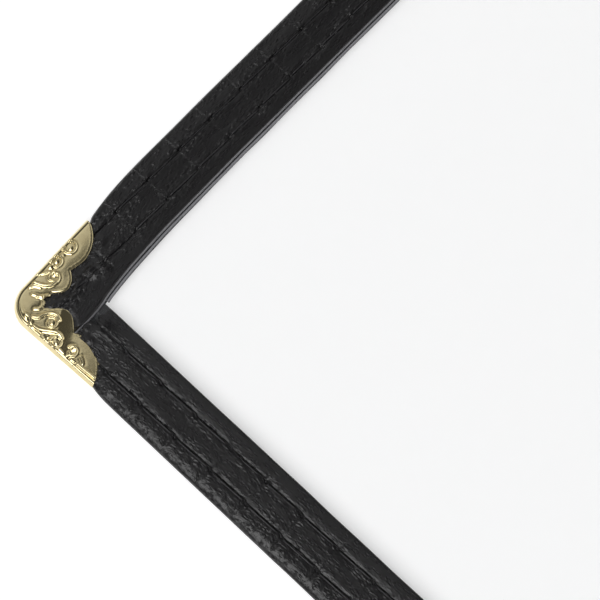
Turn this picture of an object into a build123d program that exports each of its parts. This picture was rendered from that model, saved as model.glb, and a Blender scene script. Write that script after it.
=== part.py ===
from build123d import *
import os
from math import cos, radians, sin, tan

# Folding menu cover with a clear pocket in each panel, laid open with its inside up.
# X runs across both panels, Y up to the open edges, Z up from the counter.
# The origin is on the counter, under the middle of the spine.

# The sheet that a pocket takes, and its ease all round
insert_width = 215.9
insert_height = 279.4
insert_ease = 2.4

# Leatherette trim and its two rows of stitching
trim_width = 12.7
row_outer = 3.8
row_step = 4.85
leather = 0.45
row_ply = 0.24
pillow = 0.26
bead = 0.80
fold_ease = 0.10
thread = 0.38
thread_gap = 0.05
thread_sides = 4

# Shape of a strip's face: what is left of the ply under the thread at the cut edge, the
# swell on either side of the two rows, the most of a height that the bead may take, and how
# far the middle of a quarter turn lies in from its corner, all as shares
edge_share = 0.80
inside_swell = 0.80
outside_swell = 0.75
bead_share = 0.80
bead_cut = 0.29

# Under flange of an open edge: how far it shows in the pocket, and the slant of its turn
under_show = 0.35
under_turn = 0.15

# Clear vinyl and the spaces between plies
vinyl = 0.20
mouth_gap = 0.10
ply_gap = 0.02
sheet_ease = 0.10

# Spine
spine_row = 4.3
fold_half = 3.4
crease_half = 0.9
spine_end_gap = 0.2
butt_gap = 0.12
shoulder_share = 0.65
crease_rise = 0.10

# Metal corners
corner_leg = 21.2
corner_depth = 6.5
corner_round = 4.6
corner_sheet = 0.35
corner_bend = 0.60
corner_play = 0.06
side_play = 0.12
corner_relief = 0.20
corner_skew = 2.0
corner_drop = 2.2
rim_width = 0.34
rim_space = 0.25
relief_sink = 0.05
tongue_reach = 0.12

# Ornament of a corner. A curl has its share of the leg, its step inward and the angle at
# which it starts. The stem's centre is in shares of the leg and of the plate's depth.
curl_width = 0.36
curl_radius = 0.95
curl_sweep = 250
curl_places = ((0.735, 0, -20), (0.565, 0.1, -60), (0.44, 1.4, 20))
stem_width = 0.50
stem_centre = (0.57, 0.065)
stem_reach = 0.285
stem_start = 137
stem_sweep = 39
chord_turn = 42

# How the strips are nipped by a corner and spread again past it
strip_inset = 1.3
lap_spread = 1.8
grip_spread = 0.75
pinch_slot = 0.08
pinch_run = 3.9
nip_run = 2.9
ease_run = 7.0
settle_run = 18.0
grip_over = 0.40
side_grip_over = 0.10
lap_taper = 0.20
lap_clear = 0.25
pinch_clear = 0.10
nip_inset = 0.95
ease_inset = 0.45
side_nip_inset = 0.20
nip_swell = 0.70
nip_spread = 0.75
ease_spread = 0.50
thread_start = 1.5

# How far a cut reaches past what it cuts, and the distance that counts as none
cut_over = 2
trim_over = 6
lap_before = 1
lap_over = 20
hair = 0.01

# Space between the panels when the cover is shut
shut_gap = 0.30

# Heights of the plies, measured up and down from the middle of the cover
under_low = mouth_gap / 2
under_high = under_low + leather
vinyl_low = under_high + ply_gap
vinyl_high = vinyl_low + vinyl
flange_low = vinyl_high + ply_gap
row_high = flange_low + row_ply
flat_high = flange_low + leather
crest_high = flat_high + pillow
cavity_high = flat_high + corner_play
plate_high = cavity_high + corner_sheet
middle = plate_high + corner_relief
pinch_row = pinch_slot + row_ply
pinch_flat = pinch_slot + leather

# Plan sizes, from the sheet and the stitched margins
row_inner = row_outer + row_step
spine_row_far = spine_row + row_step
spine_half = spine_row_far + trim_width - row_inner
panel_width = row_inner + insert_width + 2 * insert_ease + spine_row_far
panel_height = 2 * row_inner + insert_height + 2 * insert_ease
strip_end = panel_width - spine_half - butt_gap
fold_wall = leather + fold_ease
sheet_edge = fold_wall + sheet_ease
lap_depth = trim_width + lap_spread
clip_across = trim_width + lap_clear
clip_down = lap_depth + lap_clear
skew_rise = tan(radians(corner_skew))

DIAGONAL = Plane(origin=(0, 0, 0), z_dir=(1, 1, 0))
HALF_HEIGHT = Plane(origin=(0, -panel_height / 2, 0), z_dir=(0, 1, 0))


# Outlines are lists of points. A point is (x, y), or ((x, y), (x, y)) for an arc that
# passes through the first and ends at the second.


def is_arc(point):
    return isinstance(point[0], tuple)


def each(point, change):
    """The point, or both points of an arc, changed in the same way."""
    if is_arc(point):
        return tuple(change(*one) for one in point)
    return change(*point)


def reversed_run(points):
    """The same line drawn from its other end, which it leaves out."""
    ends = [point[1] if is_arc(point) else point for point in points]
    run = []
    for number in range(len(points) - 1, 0, -1):
        if is_arc(points[number]):
            run.append((points[number][0], ends[number - 1]))
        else:
            run.append(ends[number - 1])
    return run


def outline(points, change):
    """A closed face through points, each put in place by change."""
    placed = [each(point, change) for point in points]
    here = placed[0]
    edges = []
    for item in placed[1:] + [placed[0]]:
        if is_arc(item):
            edges.append(ThreePointArc(here, item[0], item[1]))
            here = item[1]
        else:
            edges.append(Line(here, item))
            here = item
    return make_face(edges)


def on_plan(across, down):
    return (across, -down, 0)


# Strips. A station is (distance from the corner, inset of the outer edge, depth of the
# inner edge, lowest leather, leather under the thread, leather between the rows).


def level(along, out, inn, share):
    """A station whose leather lies on the vinyl and swells by a share of its pillow."""
    return (along, out, inn, flange_low, row_high, flat_high + share * pillow)


def top_stations():
    """The strip along an upper or lower edge, from a metal corner to the spine."""
    wall = corner_drop + corner_sheet + side_play
    grip = corner_leg + grip_over
    return [
        level(strip_inset, wall, lap_depth, 0),
        level(trim_width, wall - trim_width * skew_rise, lap_depth - lap_taper, 0),
        level(grip, wall - grip * skew_rise, trim_width + grip_spread, 0),
        level(grip + nip_run, nip_inset, trim_width + nip_spread * grip_spread, nip_swell),
        level(grip + ease_run, ease_inset, trim_width + ease_spread * grip_spread, 1),
        level(grip + settle_run, 0, trim_width, 1),
        level(strip_end, 0, trim_width, 1),
    ]


def side_end():
    """The side strip's end: pinched flat under the lap, then nipped by the metal corner."""
    wall = corner_sheet + side_play - corner_drop * skew_rise
    start = corner_drop + corner_sheet + side_play + sheet_edge
    full = clip_down + pinch_run
    grip = corner_drop + corner_leg + side_grip_over
    pinched = (trim_width, pinch_slot, pinch_row, pinch_flat)
    return [
        (start, wall + start * skew_rise, *pinched),
        (clip_down, wall + clip_down * skew_rise, *pinched),
        level(full, wall + full * skew_rise, trim_width, 0),
        level(grip, wall + grip * skew_rise, trim_width, 0),
        level(grip + nip_run, side_nip_inset, trim_width, nip_swell),
        level(grip + ease_run, 0, trim_width, 1),
    ]


def side_stations():
    """Both ends of the side strip, with the plain run between them."""
    first = side_end()
    last = [(panel_height - station[0], *station[1:]) for station in reversed(first)]
    return first + last


def between(stations, first, last):
    """The stations from one place to another, with a station at each of the two."""

    def at(place):
        after = next(n for n, station in enumerate(stations) if station[0] >= place)
        one, two = stations[after - 1], stations[after]
        share = (place - one[0]) / (two[0] - one[0])
        return tuple(a + share * (b - a) for a, b in zip(one, two))

    inner = [station for station in stations if first < station[0] < last]
    return [at(first)] + inner + [at(last)]


def bead_turn(crest):
    """Radius of the outer bead, less where the strip is pinched thin."""
    return min(bead, bead_share * crest)


def padded_face(station):
    """The stitched face of a strip, from its tip to its outer bead, as inset and height."""
    along, out, inn, low, row, crest = station
    first = out + row_outer
    second = first + row_step
    tip = low + edge_share * row_ply
    swell = crest - row
    turn = bead_turn(crest)
    return [
        (inn, low),
        (inn, tip),
        (((inn + second) / 2, row + inside_swell * swell), (second, row)),
        (((first + second) / 2, crest), (first, row)),
        (((first + out + turn) / 2, row + outside_swell * swell), (out + turn, crest)),
        ((out + bead_cut * turn, crest - bead_cut * turn), (out, crest - turn)),
    ]


def folded_section(station):
    """A binding folded round both sheets of vinyl: padded on both faces, open inward."""
    along, out, inn, low, row, crest = station
    face = padded_face(station)
    back = [each(point, lambda inset, height: (inset, -height)) for point in face]
    turn = [(out, bead_turn(crest) - crest)] + reversed_run(back)
    slot = [(out + fold_wall, -low), (out + fold_wall, low)]
    return outline(face + turn + slot, lambda inset, height: (along, -inset, height))


def tape_section(station):
    """A tape folded round one sheet of vinyl, its under flange lying flat in the pocket."""
    along, out, inn, low, row, crest = station
    under = inn + under_show
    turn = [
        (out, under_low + under_turn),
        (out + under_turn, under_low),
        (under, under_low),
        (under, under_high),
        (out + fold_wall, under_high),
        (out + fold_wall, low),
    ]
    points = padded_face(station) + turn
    return outline(points, lambda inset, height: (along, -inset, height))


def strip(stations, section):
    """One piece of leatherette drawn through its sections."""
    return loft([section(station) for station in stations], ruled=True)


def thread_outline():
    """A thread cut across, with few sides because it is thin."""
    return RegularPolygon(thread / 2, thread_sides)


def thread_section(station, row, side):
    along, out, inn, low, groove, crest = station
    height = side * (groove + thread_gap + thread / 2)
    centre = (along, -(out + row), height)
    return Plane(origin=centre, x_dir=(0, 1, 0), z_dir=(1, 0, 0)) * thread_outline()


def strip_threads(stations, sides):
    """Both rows of a strip, on the faces named in sides."""
    rows = (row_outer, row_inner)
    return Compound(
        [
            loft([thread_section(one, row, side) for one in stations], ruled=True)
            for row in rows
            for side in sides
        ]
    )


# Metal corners, drawn with one leg along +X and one along -Y from the outer point.


def scallops():
    """Inner outline of one leg: half-moon lobe, cusp, smaller lobe and a notch. Its points
    are shares of the leg's length and of the plate's depth."""

    def share(along, deep):
        return (along * corner_leg, deep * corner_depth)

    return [
        (share(1, 0)),
        (share(0.93, 0.51), share(0.765, 0.76)),
        (share(0.67, 0.765), share(0.595, 0.68)),
        (share(0.455, 1.0), share(0.335, 0.815)),
        share(0.30, 0.685),
        share(0.26, 0.67),
    ]


def corner_plan():
    """The whole outline of a corner: two legs, the tongue between them, the rounded tip."""
    leg = scallops()
    other = [each(point, lambda across, down: (down, across)) for point in leg]
    tongue = (leg[-1][0] + leg[-1][1]) / 2 + tongue_reach
    middle_arc = corner_round * (1 - cos(radians(45)))
    tip = [(0, corner_round), ((middle_arc, middle_arc), (corner_round, 0))]
    join = [((tongue, tongue), other[-1])]
    return outline(leg + join + reversed_run(other) + tip, on_plan)


def inside_plan(inset, reach):
    """Plan of the space inside a corner's wall, as far as a square reach."""
    inner = corner_round - inset
    middle_arc = inset + inner * (1 - cos(radians(45)))
    points = [
        (reach, inset),
        (reach, reach),
        (inset, reach),
        (inset, corner_round),
        ((middle_arc, middle_arc), (corner_round, inset)),
    ]
    return outline(points, on_plan)


def part_ring(centre, radius, width, start, sweep):
    """A raised line of the ornament, bent round a centre and drawn in chords."""
    chords = max(2, round(sweep / chord_turn))

    def line(reach):
        turns = [radians(start + sweep * step / chords) for step in range(chords + 1)]
        return [(centre[0] + reach * cos(turn), centre[1] + reach * sin(turn)) for turn in turns]

    return outline(line(radius + width / 2) + line(radius - width / 2)[::-1], on_plan)


def ornament():
    """Three curls along each leg, and the stem from which the innermost one springs."""
    edge = corner_bend + rim_space + curl_radius
    leg = [
        part_ring((share * corner_leg, edge + step), curl_radius, curl_width, start, curl_sweep)
        for share, step, start in curl_places
    ]
    centre = (stem_centre[0] * corner_leg, stem_centre[1] * corner_depth)
    leg.append(part_ring(centre, stem_reach * corner_leg, stem_width, stem_start, stem_sweep))
    return leg + [mirror(one, about=DIAGONAL) for one in leg]


def is_outer_edge(edge):
    """True for the long edges of the wall, the rounded tip included."""
    place = edge @ 0.5
    tip = corner_round * (1 - cos(radians(45)))
    at_tip = abs(place.X - tip) < hair and abs(place.Y + tip) < hair
    return abs(place.X) < hair or abs(place.Y) < hair or at_tip


def metal_corner():
    """Pressed corner: two scalloped plates and the bent wall that joins them."""
    plan = corner_plan()
    body = extrude(plan, plate_high, both=True)
    flat_edges = body.edges().filter_by(Axis.Z, reverse=True)
    body = fillet(flat_edges.filter_by(is_outer_edge), corner_bend)
    reach = corner_leg + cut_over
    body -= extrude(inside_plan(corner_sheet, reach), cavity_high, both=True)
    rim = plan - offset(plan, -rim_width)
    raised = [rim & inside_plan(corner_bend + rim_space, reach)] + ornament()
    for face in raised:
        for side in (1, -1):
            start = Location((0, 0, side * (plate_high - relief_sink)))
            body += start * extrude(face, side * (corner_relief + relief_sink))
    return body


def seat_corner(piece):
    """A metal corner as it is crimped on: dropped a little and slightly askew."""
    return Location((0, -corner_drop, 0), (0, 0, corner_skew)) * piece


def corner_trim():
    """What the strips lose so that they clear the rounded tip of a corner."""
    inset = corner_sheet + side_play
    square = Location(((corner_round - trim_over) / 2, (trim_over - corner_round) / 2, 0))
    disc = Location((corner_round, -corner_round, 0)) * Circle(corner_round - inset)
    block = square * Rectangle(corner_round + trim_over, corner_round + trim_over) - disc
    return seat_corner(extrude(block, 2 * middle, both=True))


# Soft pieces of the left panel, drawn from its top corner


def sheet_plan():
    """A sheet of vinyl, its outer corners clipped where the side strip is pinched."""
    clip_low = clip_down + pinch_run + pinch_clear
    top = between(top_stations(), clip_across, strip_end)
    side = between(side_stations(), clip_low, panel_height - clip_low)
    fold_edge = panel_width - fold_half - sheet_ease
    upper = [(one[0], one[1] + sheet_edge) for one in top]
    points = [(fold_edge, sheet_edge)]
    points += reversed(upper)
    points += [(clip_across, clip_low)]
    points += [(one[1] + sheet_edge, one[0]) for one in side]
    points += [(clip_across, panel_height - clip_low)]
    points += [(across, panel_height - down) for across, down in upper]
    points += [(fold_edge, panel_height - sheet_edge)]
    return outline(points, on_plan)


def open_tape(trim):
    """The tape of an open edge. Past the side strip, only its upper face is left."""
    stations = top_stations()
    lap = between(stations, strip_inset + hair, clip_across)
    fold_line = [(one[0], one[1] + fold_wall) for one in lap]
    start = (-lap_before, fold_line[0][1])
    far = trim_width + lap_over
    space = outline([start] + fold_line + [(clip_across, far), (-lap_before, far)], on_plan)
    return strip(stations, tape_section) - extrude(space, flange_low, both=True) - trim


def spine_strip():
    """The leatherette over the fold: two rows each side and a crease down its middle."""
    swell = crest_high - row_high
    near = [
        (spine_half, flange_low),
        (spine_half, flange_low + edge_share * row_ply),
        (((spine_half + spine_row_far) / 2, row_high + inside_swell * swell), (spine_row_far, row_high)),
        (((spine_row + spine_row_far) / 2, crest_high), (spine_row, row_high)),
        ((shoulder_share * spine_row, flat_high), (crease_half, under_high + crease_rise)),
    ]
    far = [each(point, lambda across, height: (-across, height)) for point in near]
    crease = [((0, under_high), far[-1][1])]
    under = [
        (-fold_half, flange_low),
        (-crease_half, under_low),
        (crease_half, under_low),
        (fold_half, flange_low),
    ]
    points = near + crease + reversed_run(far) + under
    length = panel_height - 2 * spine_end_gap
    face = outline(points, lambda across, height: (across, -length / 2, height))
    return extrude(face, length, dir=(0, 1, 0))


def spine_threads():
    """Both rows of one side of the spine, on both faces."""
    length = panel_height - 2 * (spine_end_gap + thread_start)
    height = row_high + thread_gap + thread / 2
    threads = []
    for row in (spine_row, spine_row_far):
        for side in (1, -1):
            start = Plane(
                origin=(-row, -length / 2, side * height), x_dir=(1, 0, 0), z_dir=(0, 1, 0)
            )
            threads.append(extrude(start * thread_outline(), length))
    return Compound(threads)


def turned_over(piece):
    """The same piece on the back of the cover."""
    return mirror(piece, about=Plane.XY)


def panel_pieces():
    """Every piece of the left panel, in the panel's own frame."""
    trim = corner_trim()
    tops = top_stations()
    sides = side_stations()
    sheet = Location((0, 0, vinyl_low)) * extrude(sheet_plan(), vinyl)
    tape = open_tape(trim)
    side = mirror(strip(sides, folded_section), about=DIAGONAL)
    side = side - trim - mirror(trim, about=HALF_HEIGHT)
    bottom = mirror(strip(tops, folded_section) - trim, about=HALF_HEIGHT)
    corner = seat_corner(metal_corner())
    top_run = between(tops, corner_leg + thread_start, strip_end - thread_start)
    side_start = corner_drop + corner_leg + thread_start
    side_run = between(sides, side_start, panel_height - side_start)
    front_rows = strip_threads(top_run, (1,))
    return {
        "front_vinyl": sheet,
        "back_vinyl": turned_over(sheet),
        "top_front_tape": tape,
        "top_back_tape": turned_over(tape),
        "side_binding": side,
        "bottom_binding": bottom,
        "top_corner": corner,
        "bottom_corner": mirror(corner, about=HALF_HEIGHT),
        "top_front_seam": front_rows,
        "top_back_seam": turned_over(front_rows),
        "side_seam": mirror(strip_threads(side_run, (1, -1)), about=DIAGONAL),
        "bottom_seam": mirror(strip_threads(top_run, (1, -1)), about=HALF_HEIGHT),
    }


def write(name, piece):
    piece.label = name
    export_step(piece, f"parts/{name}.step")


os.makedirs("parts", exist_ok=True)
place = Location((-panel_width, panel_height / 2, middle))
lift = Location((0, 0, middle))
for name, piece in panel_pieces().items():
    left = place * piece
    write(f"left_{name}", left)
    write(f"right_{name}", mirror(left, about=Plane.YZ))
inner_strip = spine_strip()
left_rows = lift * spine_threads()
write("spine_inner_strip", lift * inner_strip)
write("spine_outer_strip", lift * turned_over(inner_strip))
write("spine_left_seam", left_rows)
write("spine_right_seam", mirror(left_rows, about=Plane.YZ))
print("size", 2 * panel_width, panel_height, 2 * middle)
print("hinge height", 2 * middle + shut_gap / 2)
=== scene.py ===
"""Folding menu cover: stitched leatherette trim, clear pockets and pressed metal corners."""

from math import cos, pi, radians, sin, sqrt
from typing import NamedTuple

import bmesh
import bpy
import numpy as np
from bpy.props import FloatProperty, IntProperty, PointerProperty, StringProperty
from mathutils import Matrix, Vector
from mathutils.geometry import delaunay_2d_cdt


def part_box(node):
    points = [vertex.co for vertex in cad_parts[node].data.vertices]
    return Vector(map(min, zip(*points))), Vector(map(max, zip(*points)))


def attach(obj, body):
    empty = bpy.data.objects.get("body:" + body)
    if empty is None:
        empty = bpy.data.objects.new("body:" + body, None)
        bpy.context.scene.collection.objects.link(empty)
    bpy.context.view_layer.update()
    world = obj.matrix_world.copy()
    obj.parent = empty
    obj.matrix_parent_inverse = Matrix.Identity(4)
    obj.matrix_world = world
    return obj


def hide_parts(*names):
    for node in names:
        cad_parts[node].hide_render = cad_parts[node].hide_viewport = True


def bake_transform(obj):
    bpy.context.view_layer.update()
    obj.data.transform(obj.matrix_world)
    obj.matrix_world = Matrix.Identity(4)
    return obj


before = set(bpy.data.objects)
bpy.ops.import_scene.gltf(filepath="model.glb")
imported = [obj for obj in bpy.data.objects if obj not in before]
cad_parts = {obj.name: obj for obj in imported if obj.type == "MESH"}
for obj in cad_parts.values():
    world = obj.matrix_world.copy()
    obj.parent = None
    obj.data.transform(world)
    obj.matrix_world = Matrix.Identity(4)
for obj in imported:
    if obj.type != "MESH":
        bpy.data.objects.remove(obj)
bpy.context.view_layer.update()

bl_info = {
    "name": "Menu Cover",
    "version": (1, 0, 0),
    "blender": (4, 5, 0),
    "location": "3D View > Sidebar > Menu Cover",
    "description": "Builds a folding menu cover with stitched trim, clear pockets and metal corners",
    "category": "Object",
}

MM = 0.001

# Lengths below are in millimetres, apart from some of the stage's
SIDE_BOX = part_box("left_side_binding")
HALF_WIDTH = -SIDE_BOX[0].x / MM
HALF_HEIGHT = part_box("left_top_front_tape")[1].y / MM
MIDDLE = (SIDE_BOX[0].z + SIDE_BOX[1].z) / 2 / MM
TRIM_WIDTH = (SIDE_BOX[1].x - SIDE_BOX[0].x) / MM
SPINE_GAP = 0.02
STRIP_END = HALF_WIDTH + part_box("spine_inner_strip")[0].x / MM - SPINE_GAP
PANELS = ("left", "right")


class CoverSizes(bpy.types.PropertyGroup):
    """Sizes of the trim, the seams, the film and the metal corners, in millimetres."""

    leather: FloatProperty(
        name="Leatherette", description="Thickness of one ply, in mm", default=0.45, min=0.2
    )
    flange_low: FloatProperty(
        name="Face height", description="Face ply's underside above mid-plane, in mm", default=0.74
    )
    pillow: FloatProperty(
        name="Swell", description="How far the plies swell between the seams, in mm", default=0.15
    )
    roll: FloatProperty(
        name="Edge roll", description="Width of a side edge's roll, in mm", default=2.0, min=0.5
    )
    groove: FloatProperty(
        name="Seam depth", description="How deep a seam draws the trim down, in mm", default=0.46
    )
    pitch: FloatProperty(
        name="Stitch length", description="Distance of needle holes, in mm", default=8.0, min=2
    )
    thread: FloatProperty(
        name="Thread", description="Thickness of the thread, in mm", default=0.26, min=0.1
    )
    film: FloatProperty(
        name="Film", description="Thickness of a clear sheet, in mm", default=0.20, min=0.05
    )
    sheet_metal: FloatProperty(
        name="Corner metal", description="Thickness of the corners, in mm", default=0.30, min=0.1
    )
    relief: FloatProperty(
        name="Ornament", description="Height of the pressed scrolls, in mm", default=0.28
    )
    grid: FloatProperty(
        name="Corner grid", description="Mesh spacing on the corners, in mm", default=0.20, min=0.1
    )
    seed: IntProperty(name="Seed", description="Varies the wrinkles of the trim", default=7)


class CoverColours(bpy.types.PropertyGroup):
    """Colours as sRGB hex values."""

    leatherette: StringProperty(name="Leatherette", description="Trim", default="161516")
    # Cut edge: the backing cloth's own colour, which the lips also get as a painted highlight on their
    # bevels and on the under flange's rim
    cut_edge_and_highlight: StringProperty(
        name="Cut edge", description="Backing cloth that shows where a ply is cut", default="949397"
    )
    thread: StringProperty(name="Thread", description="Sewing thread", default="2e2d2f")
    brass: StringProperty(name="Brass", description="Metal corners", default="f1e2b3")
    # Colour of the random dull patches, and of the painted shade in the hollows beside the scrolls
    brass_dull_and_shaded: StringProperty(name="Brass, hollows", description="Dulled metal", default="b8a36b")
    film: StringProperty(name="Film", description="Clear vinyl", default="fefefe")
    table: StringProperty(name="Table", description="Floor of the stage", default="dcdcdc")


def sizes():
    """The sizes set in the scene."""
    return bpy.context.scene.cover_sizes


def colours():
    """The colours set in the scene."""
    return bpy.context.scene.cover_colours


def linear(code):
    """An sRGB hex value as linear red, green, blue and alpha."""
    parts = [int(code[n : n + 2], 16) / 255 for n in (0, 2, 4)]
    return [c / 12.92 if c <= 0.04045 else ((c + 0.055) / 1.055) ** 2.4 for c in parts] + [1.0]


# Materials


def add_node(tree, kind, settings=None, links=None):
    """A node of a kind, with values for its properties or inputs and links into its inputs.

    A link comes from an output, or from a node's first one."""
    node = tree.nodes.new(kind)
    for name, value in (settings or {}).items():
        if isinstance(name, str) and hasattr(node, name):
            setattr(node, name, value)
        else:
            node.inputs[name].default_value = value
    for name, source in (links or {}).items():
        tree.links.new(getattr(source, "outputs", [source])[0], node.inputs[name])
    return node


def new_material(name):
    """An empty material and its node tree."""
    material = bpy.data.materials.new(name)
    material.use_nodes = True
    material.node_tree.nodes.clear()
    return material, material.node_tree


# Grain of the leatherette: cells along and across a strip, the noises in them, and depths
GRAIN_CELLS = {
    "pebble": (0.95, 0.44),
    "bend": (1.3, 0.9),
    "fold": (4.2, 0.9),
    "skin": (0.42, 0.26),
    "patch": (2.6, 1.3),
}
GRAIN_NOISES = {
    "bend": {"Scale": 0.9, "Detail": 2},
    "fold": {"Scale": 1.0, "Detail": 3},
    "skin": {"Scale": 1.0, "Detail": 2},
    "patch": {"Scale": 1.0, "Detail": 2},
}
PEBBLE_DEPTH = 0.26
FOLD_DEPTH = 0.09
SKIN_DEPTH = 0.07


def leatherette_material():
    """Bonded leatherette: PVC skin embossed with a drawn-out hide grain, semi-matt, so that
    broken glints lie on the shoulders of the grain and the rest stays nearly black."""
    material, tree = new_material("bonded_leatherette")
    place = add_node(tree, "ShaderNodeTexCoord").outputs["UV"]
    pucker = add_node(tree, "ShaderNodeAttribute", {"attribute_name": "pucker"}).outputs["Fac"]
    # cut: share of the cut edge colour, backing cloth on the cut face and a painted highlight on the
    # bevel and rim
    cut = add_node(tree, "ShaderNodeAttribute", {"attribute_name": "cut"}).outputs["Fac"]
    # UVs run in metres along and across the strip, and a mapping makes one cell one unit
    grain = {}
    for name, (cell_long, cell_wide) in GRAIN_CELLS.items():
        scale = {"Scale": (1 / (cell_long * MM), 1 / (cell_wide * MM), 1)}
        grain[name] = add_node(tree, "ShaderNodeMapping", scale, {"Vector": place})
    noise = {
        name: add_node(tree, "ShaderNodeTexNoise", settings, {"Vector": grain[name]})
        for name, settings in GRAIN_NOISES.items()
    }
    warped = add_node(
        tree,
        "ShaderNodeMixRGB",
        {"blend_type": "LINEAR_LIGHT", "Fac": 0.55},
        {"Color1": grain["pebble"], "Color2": noise["bend"].outputs["Color"]},
    )
    cells = add_node(
        tree,
        "ShaderNodeTexVoronoi",
        {"feature": "SMOOTH_F1", "Scale": 1.0, "Smoothness": 0.3},
        {"Vector": warped},
    )
    pebble = add_node(
        tree,
        "ShaderNodeMapRange",
        {"interpolation_type": "SMOOTHSTEP", "From Max": 0.62, "To Min": 1.0, "To Max": 0.0},
        {"Value": cells},
    )
    patch = {"From Min": 0.40, "From Max": 0.62, "To Min": 0.15, "To Max": 1.0}
    chosen = add_node(tree, "ShaderNodeMapRange", patch, {"Value": noise["patch"]})
    depth = add_node(tree, "ShaderNodeMath", {"operation": "MULTIPLY"}, {0: chosen, 1: pucker})
    coarse = add_node(
        tree,
        "ShaderNodeBump",
        {"Distance": FOLD_DEPTH * MM},
        {"Height": noise["fold"], "Strength": pucker},
    )
    pebbled = add_node(
        tree,
        "ShaderNodeBump",
        {"Distance": PEBBLE_DEPTH * MM},
        {"Height": pebble, "Strength": depth, "Normal": coarse},
    )
    skin = add_node(
        tree,
        "ShaderNodeBump",
        {"Distance": SKIN_DEPTH * MM, "Strength": 1.0},
        {"Height": noise["skin"], "Normal": pebbled},
    )
    shine = {"To Min": 0.22, "To Max": 0.34}
    gloss = add_node(tree, "ShaderNodeMapRange", shine, {"Value": noise["fold"]})
    # The cut mask mixes in the cut edge colour: the backing cloth where a ply is cut, and a painted
    # highlight on the lip's bevel and the under flange's rim
    colour = add_node(
        tree,
        "ShaderNodeMixRGB",
        {"Color1": linear(colours().leatherette), "Color2": linear(colours().cut_edge_and_highlight)},
        {"Fac": cut},
    )
    surface = add_node(
        tree,
        "ShaderNodeBsdfPrincipled",
        {"IOR": 1.48},
        {"Base Color": colour, "Roughness": gloss, "Normal": skin},
    )
    add_node(tree, "ShaderNodeOutputMaterial", {}, {"Surface": surface})
    return material


THREAD_STRAND = 0.22
THREAD_RELIEF = 0.06


def thread_material():
    """Twisted polyester sewing thread: fine slanting strands with a soft sheen."""
    material, tree = new_material("twisted_polyester_thread")
    place = add_node(tree, "ShaderNodeTexCoord").outputs["Object"]
    strands = {"Scale": 1 / (THREAD_STRAND * MM), "Detail": 1}
    twist = add_node(tree, "ShaderNodeTexNoise", strands, {"Vector": place})
    relief = {"Distance": THREAD_RELIEF * MM, "Strength": 0.8}
    bump = add_node(tree, "ShaderNodeBump", relief, {"Height": twist})
    surface = add_node(
        tree,
        "ShaderNodeBsdfPrincipled",
        {"Base Color": linear(colours().thread), "Roughness": 0.36, "Sheen Weight": 0.1},
        {"Normal": bump},
    )
    add_node(tree, "ShaderNodeOutputMaterial", {}, {"Surface": surface})
    return material


# Brass plate: spacing of its dull patches and rolling streaks, and depth of the streaks, in mm
MOTTLE_SPACING = 2.2
STREAK_SPACING = 0.5
STREAK_DEPTH = 0.012


def brass_material():
    """Brass-plated steel, pressed and bright dipped: soft mirror with faint rolling streaks,
    duller patches at random, and painted shade in the hollows beside the scrolls."""
    material, tree = new_material("brass_plated_steel")
    place = add_node(tree, "ShaderNodeTexCoord").outputs["Object"]
    # hollow: where painted shade falls beside the scrolls
    hollow = add_node(tree, "ShaderNodeAttribute", {"attribute_name": "hollow"}).outputs["Fac"]
    patches = {"Scale": 1 / (MOTTLE_SPACING * MM), "Detail": 3}
    mottle = add_node(tree, "ShaderNodeTexNoise", patches, {"Vector": place})
    dulling = {"operation": "MULTIPLY_ADD", 1: 0.6, 2: -0.18}
    dull = add_node(tree, "ShaderNodeMath", dulling, {0: mottle})
    # Painted shade: the hollows beside the scrolls darken the brass colour
    painted_shade = add_node(tree, "ShaderNodeMath", {"operation": "MULTIPLY", 1: 0.5}, {0: hollow})
    adding = {"operation": "ADD", "use_clamp": True}
    share = add_node(tree, "ShaderNodeMath", adding, {0: painted_shade, 1: dull})
    colour = add_node(
        tree,
        "ShaderNodeMixRGB",
        {"Color1": linear(colours().brass), "Color2": linear(colours().brass_dull_and_shaded)},
        {"Fac": share},
    )
    streaks = {"Scale": 1 / (STREAK_SPACING * MM), "Detail": 2}
    streak = add_node(tree, "ShaderNodeTexNoise", streaks, {"Vector": place})
    relief = {"Distance": STREAK_DEPTH * MM, "Strength": 0.5}
    bump = add_node(tree, "ShaderNodeBump", relief, {"Height": streak})
    rough = add_node(
        tree, "ShaderNodeMapRange", {"To Min": 0.12, "To Max": 0.25}, {"Value": mottle}
    )
    surface = add_node(
        tree,
        "ShaderNodeBsdfPrincipled",
        {"Metallic": 1.0},
        {"Base Color": colour, "Roughness": rough, "Normal": bump},
    )
    add_node(tree, "ShaderNodeOutputMaterial", {}, {"Surface": surface})
    return material


RIPPLE_SPACING = 28
RIPPLE_DEPTH = 0.25
FILM_HAZE = "c3c9cf"


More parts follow.
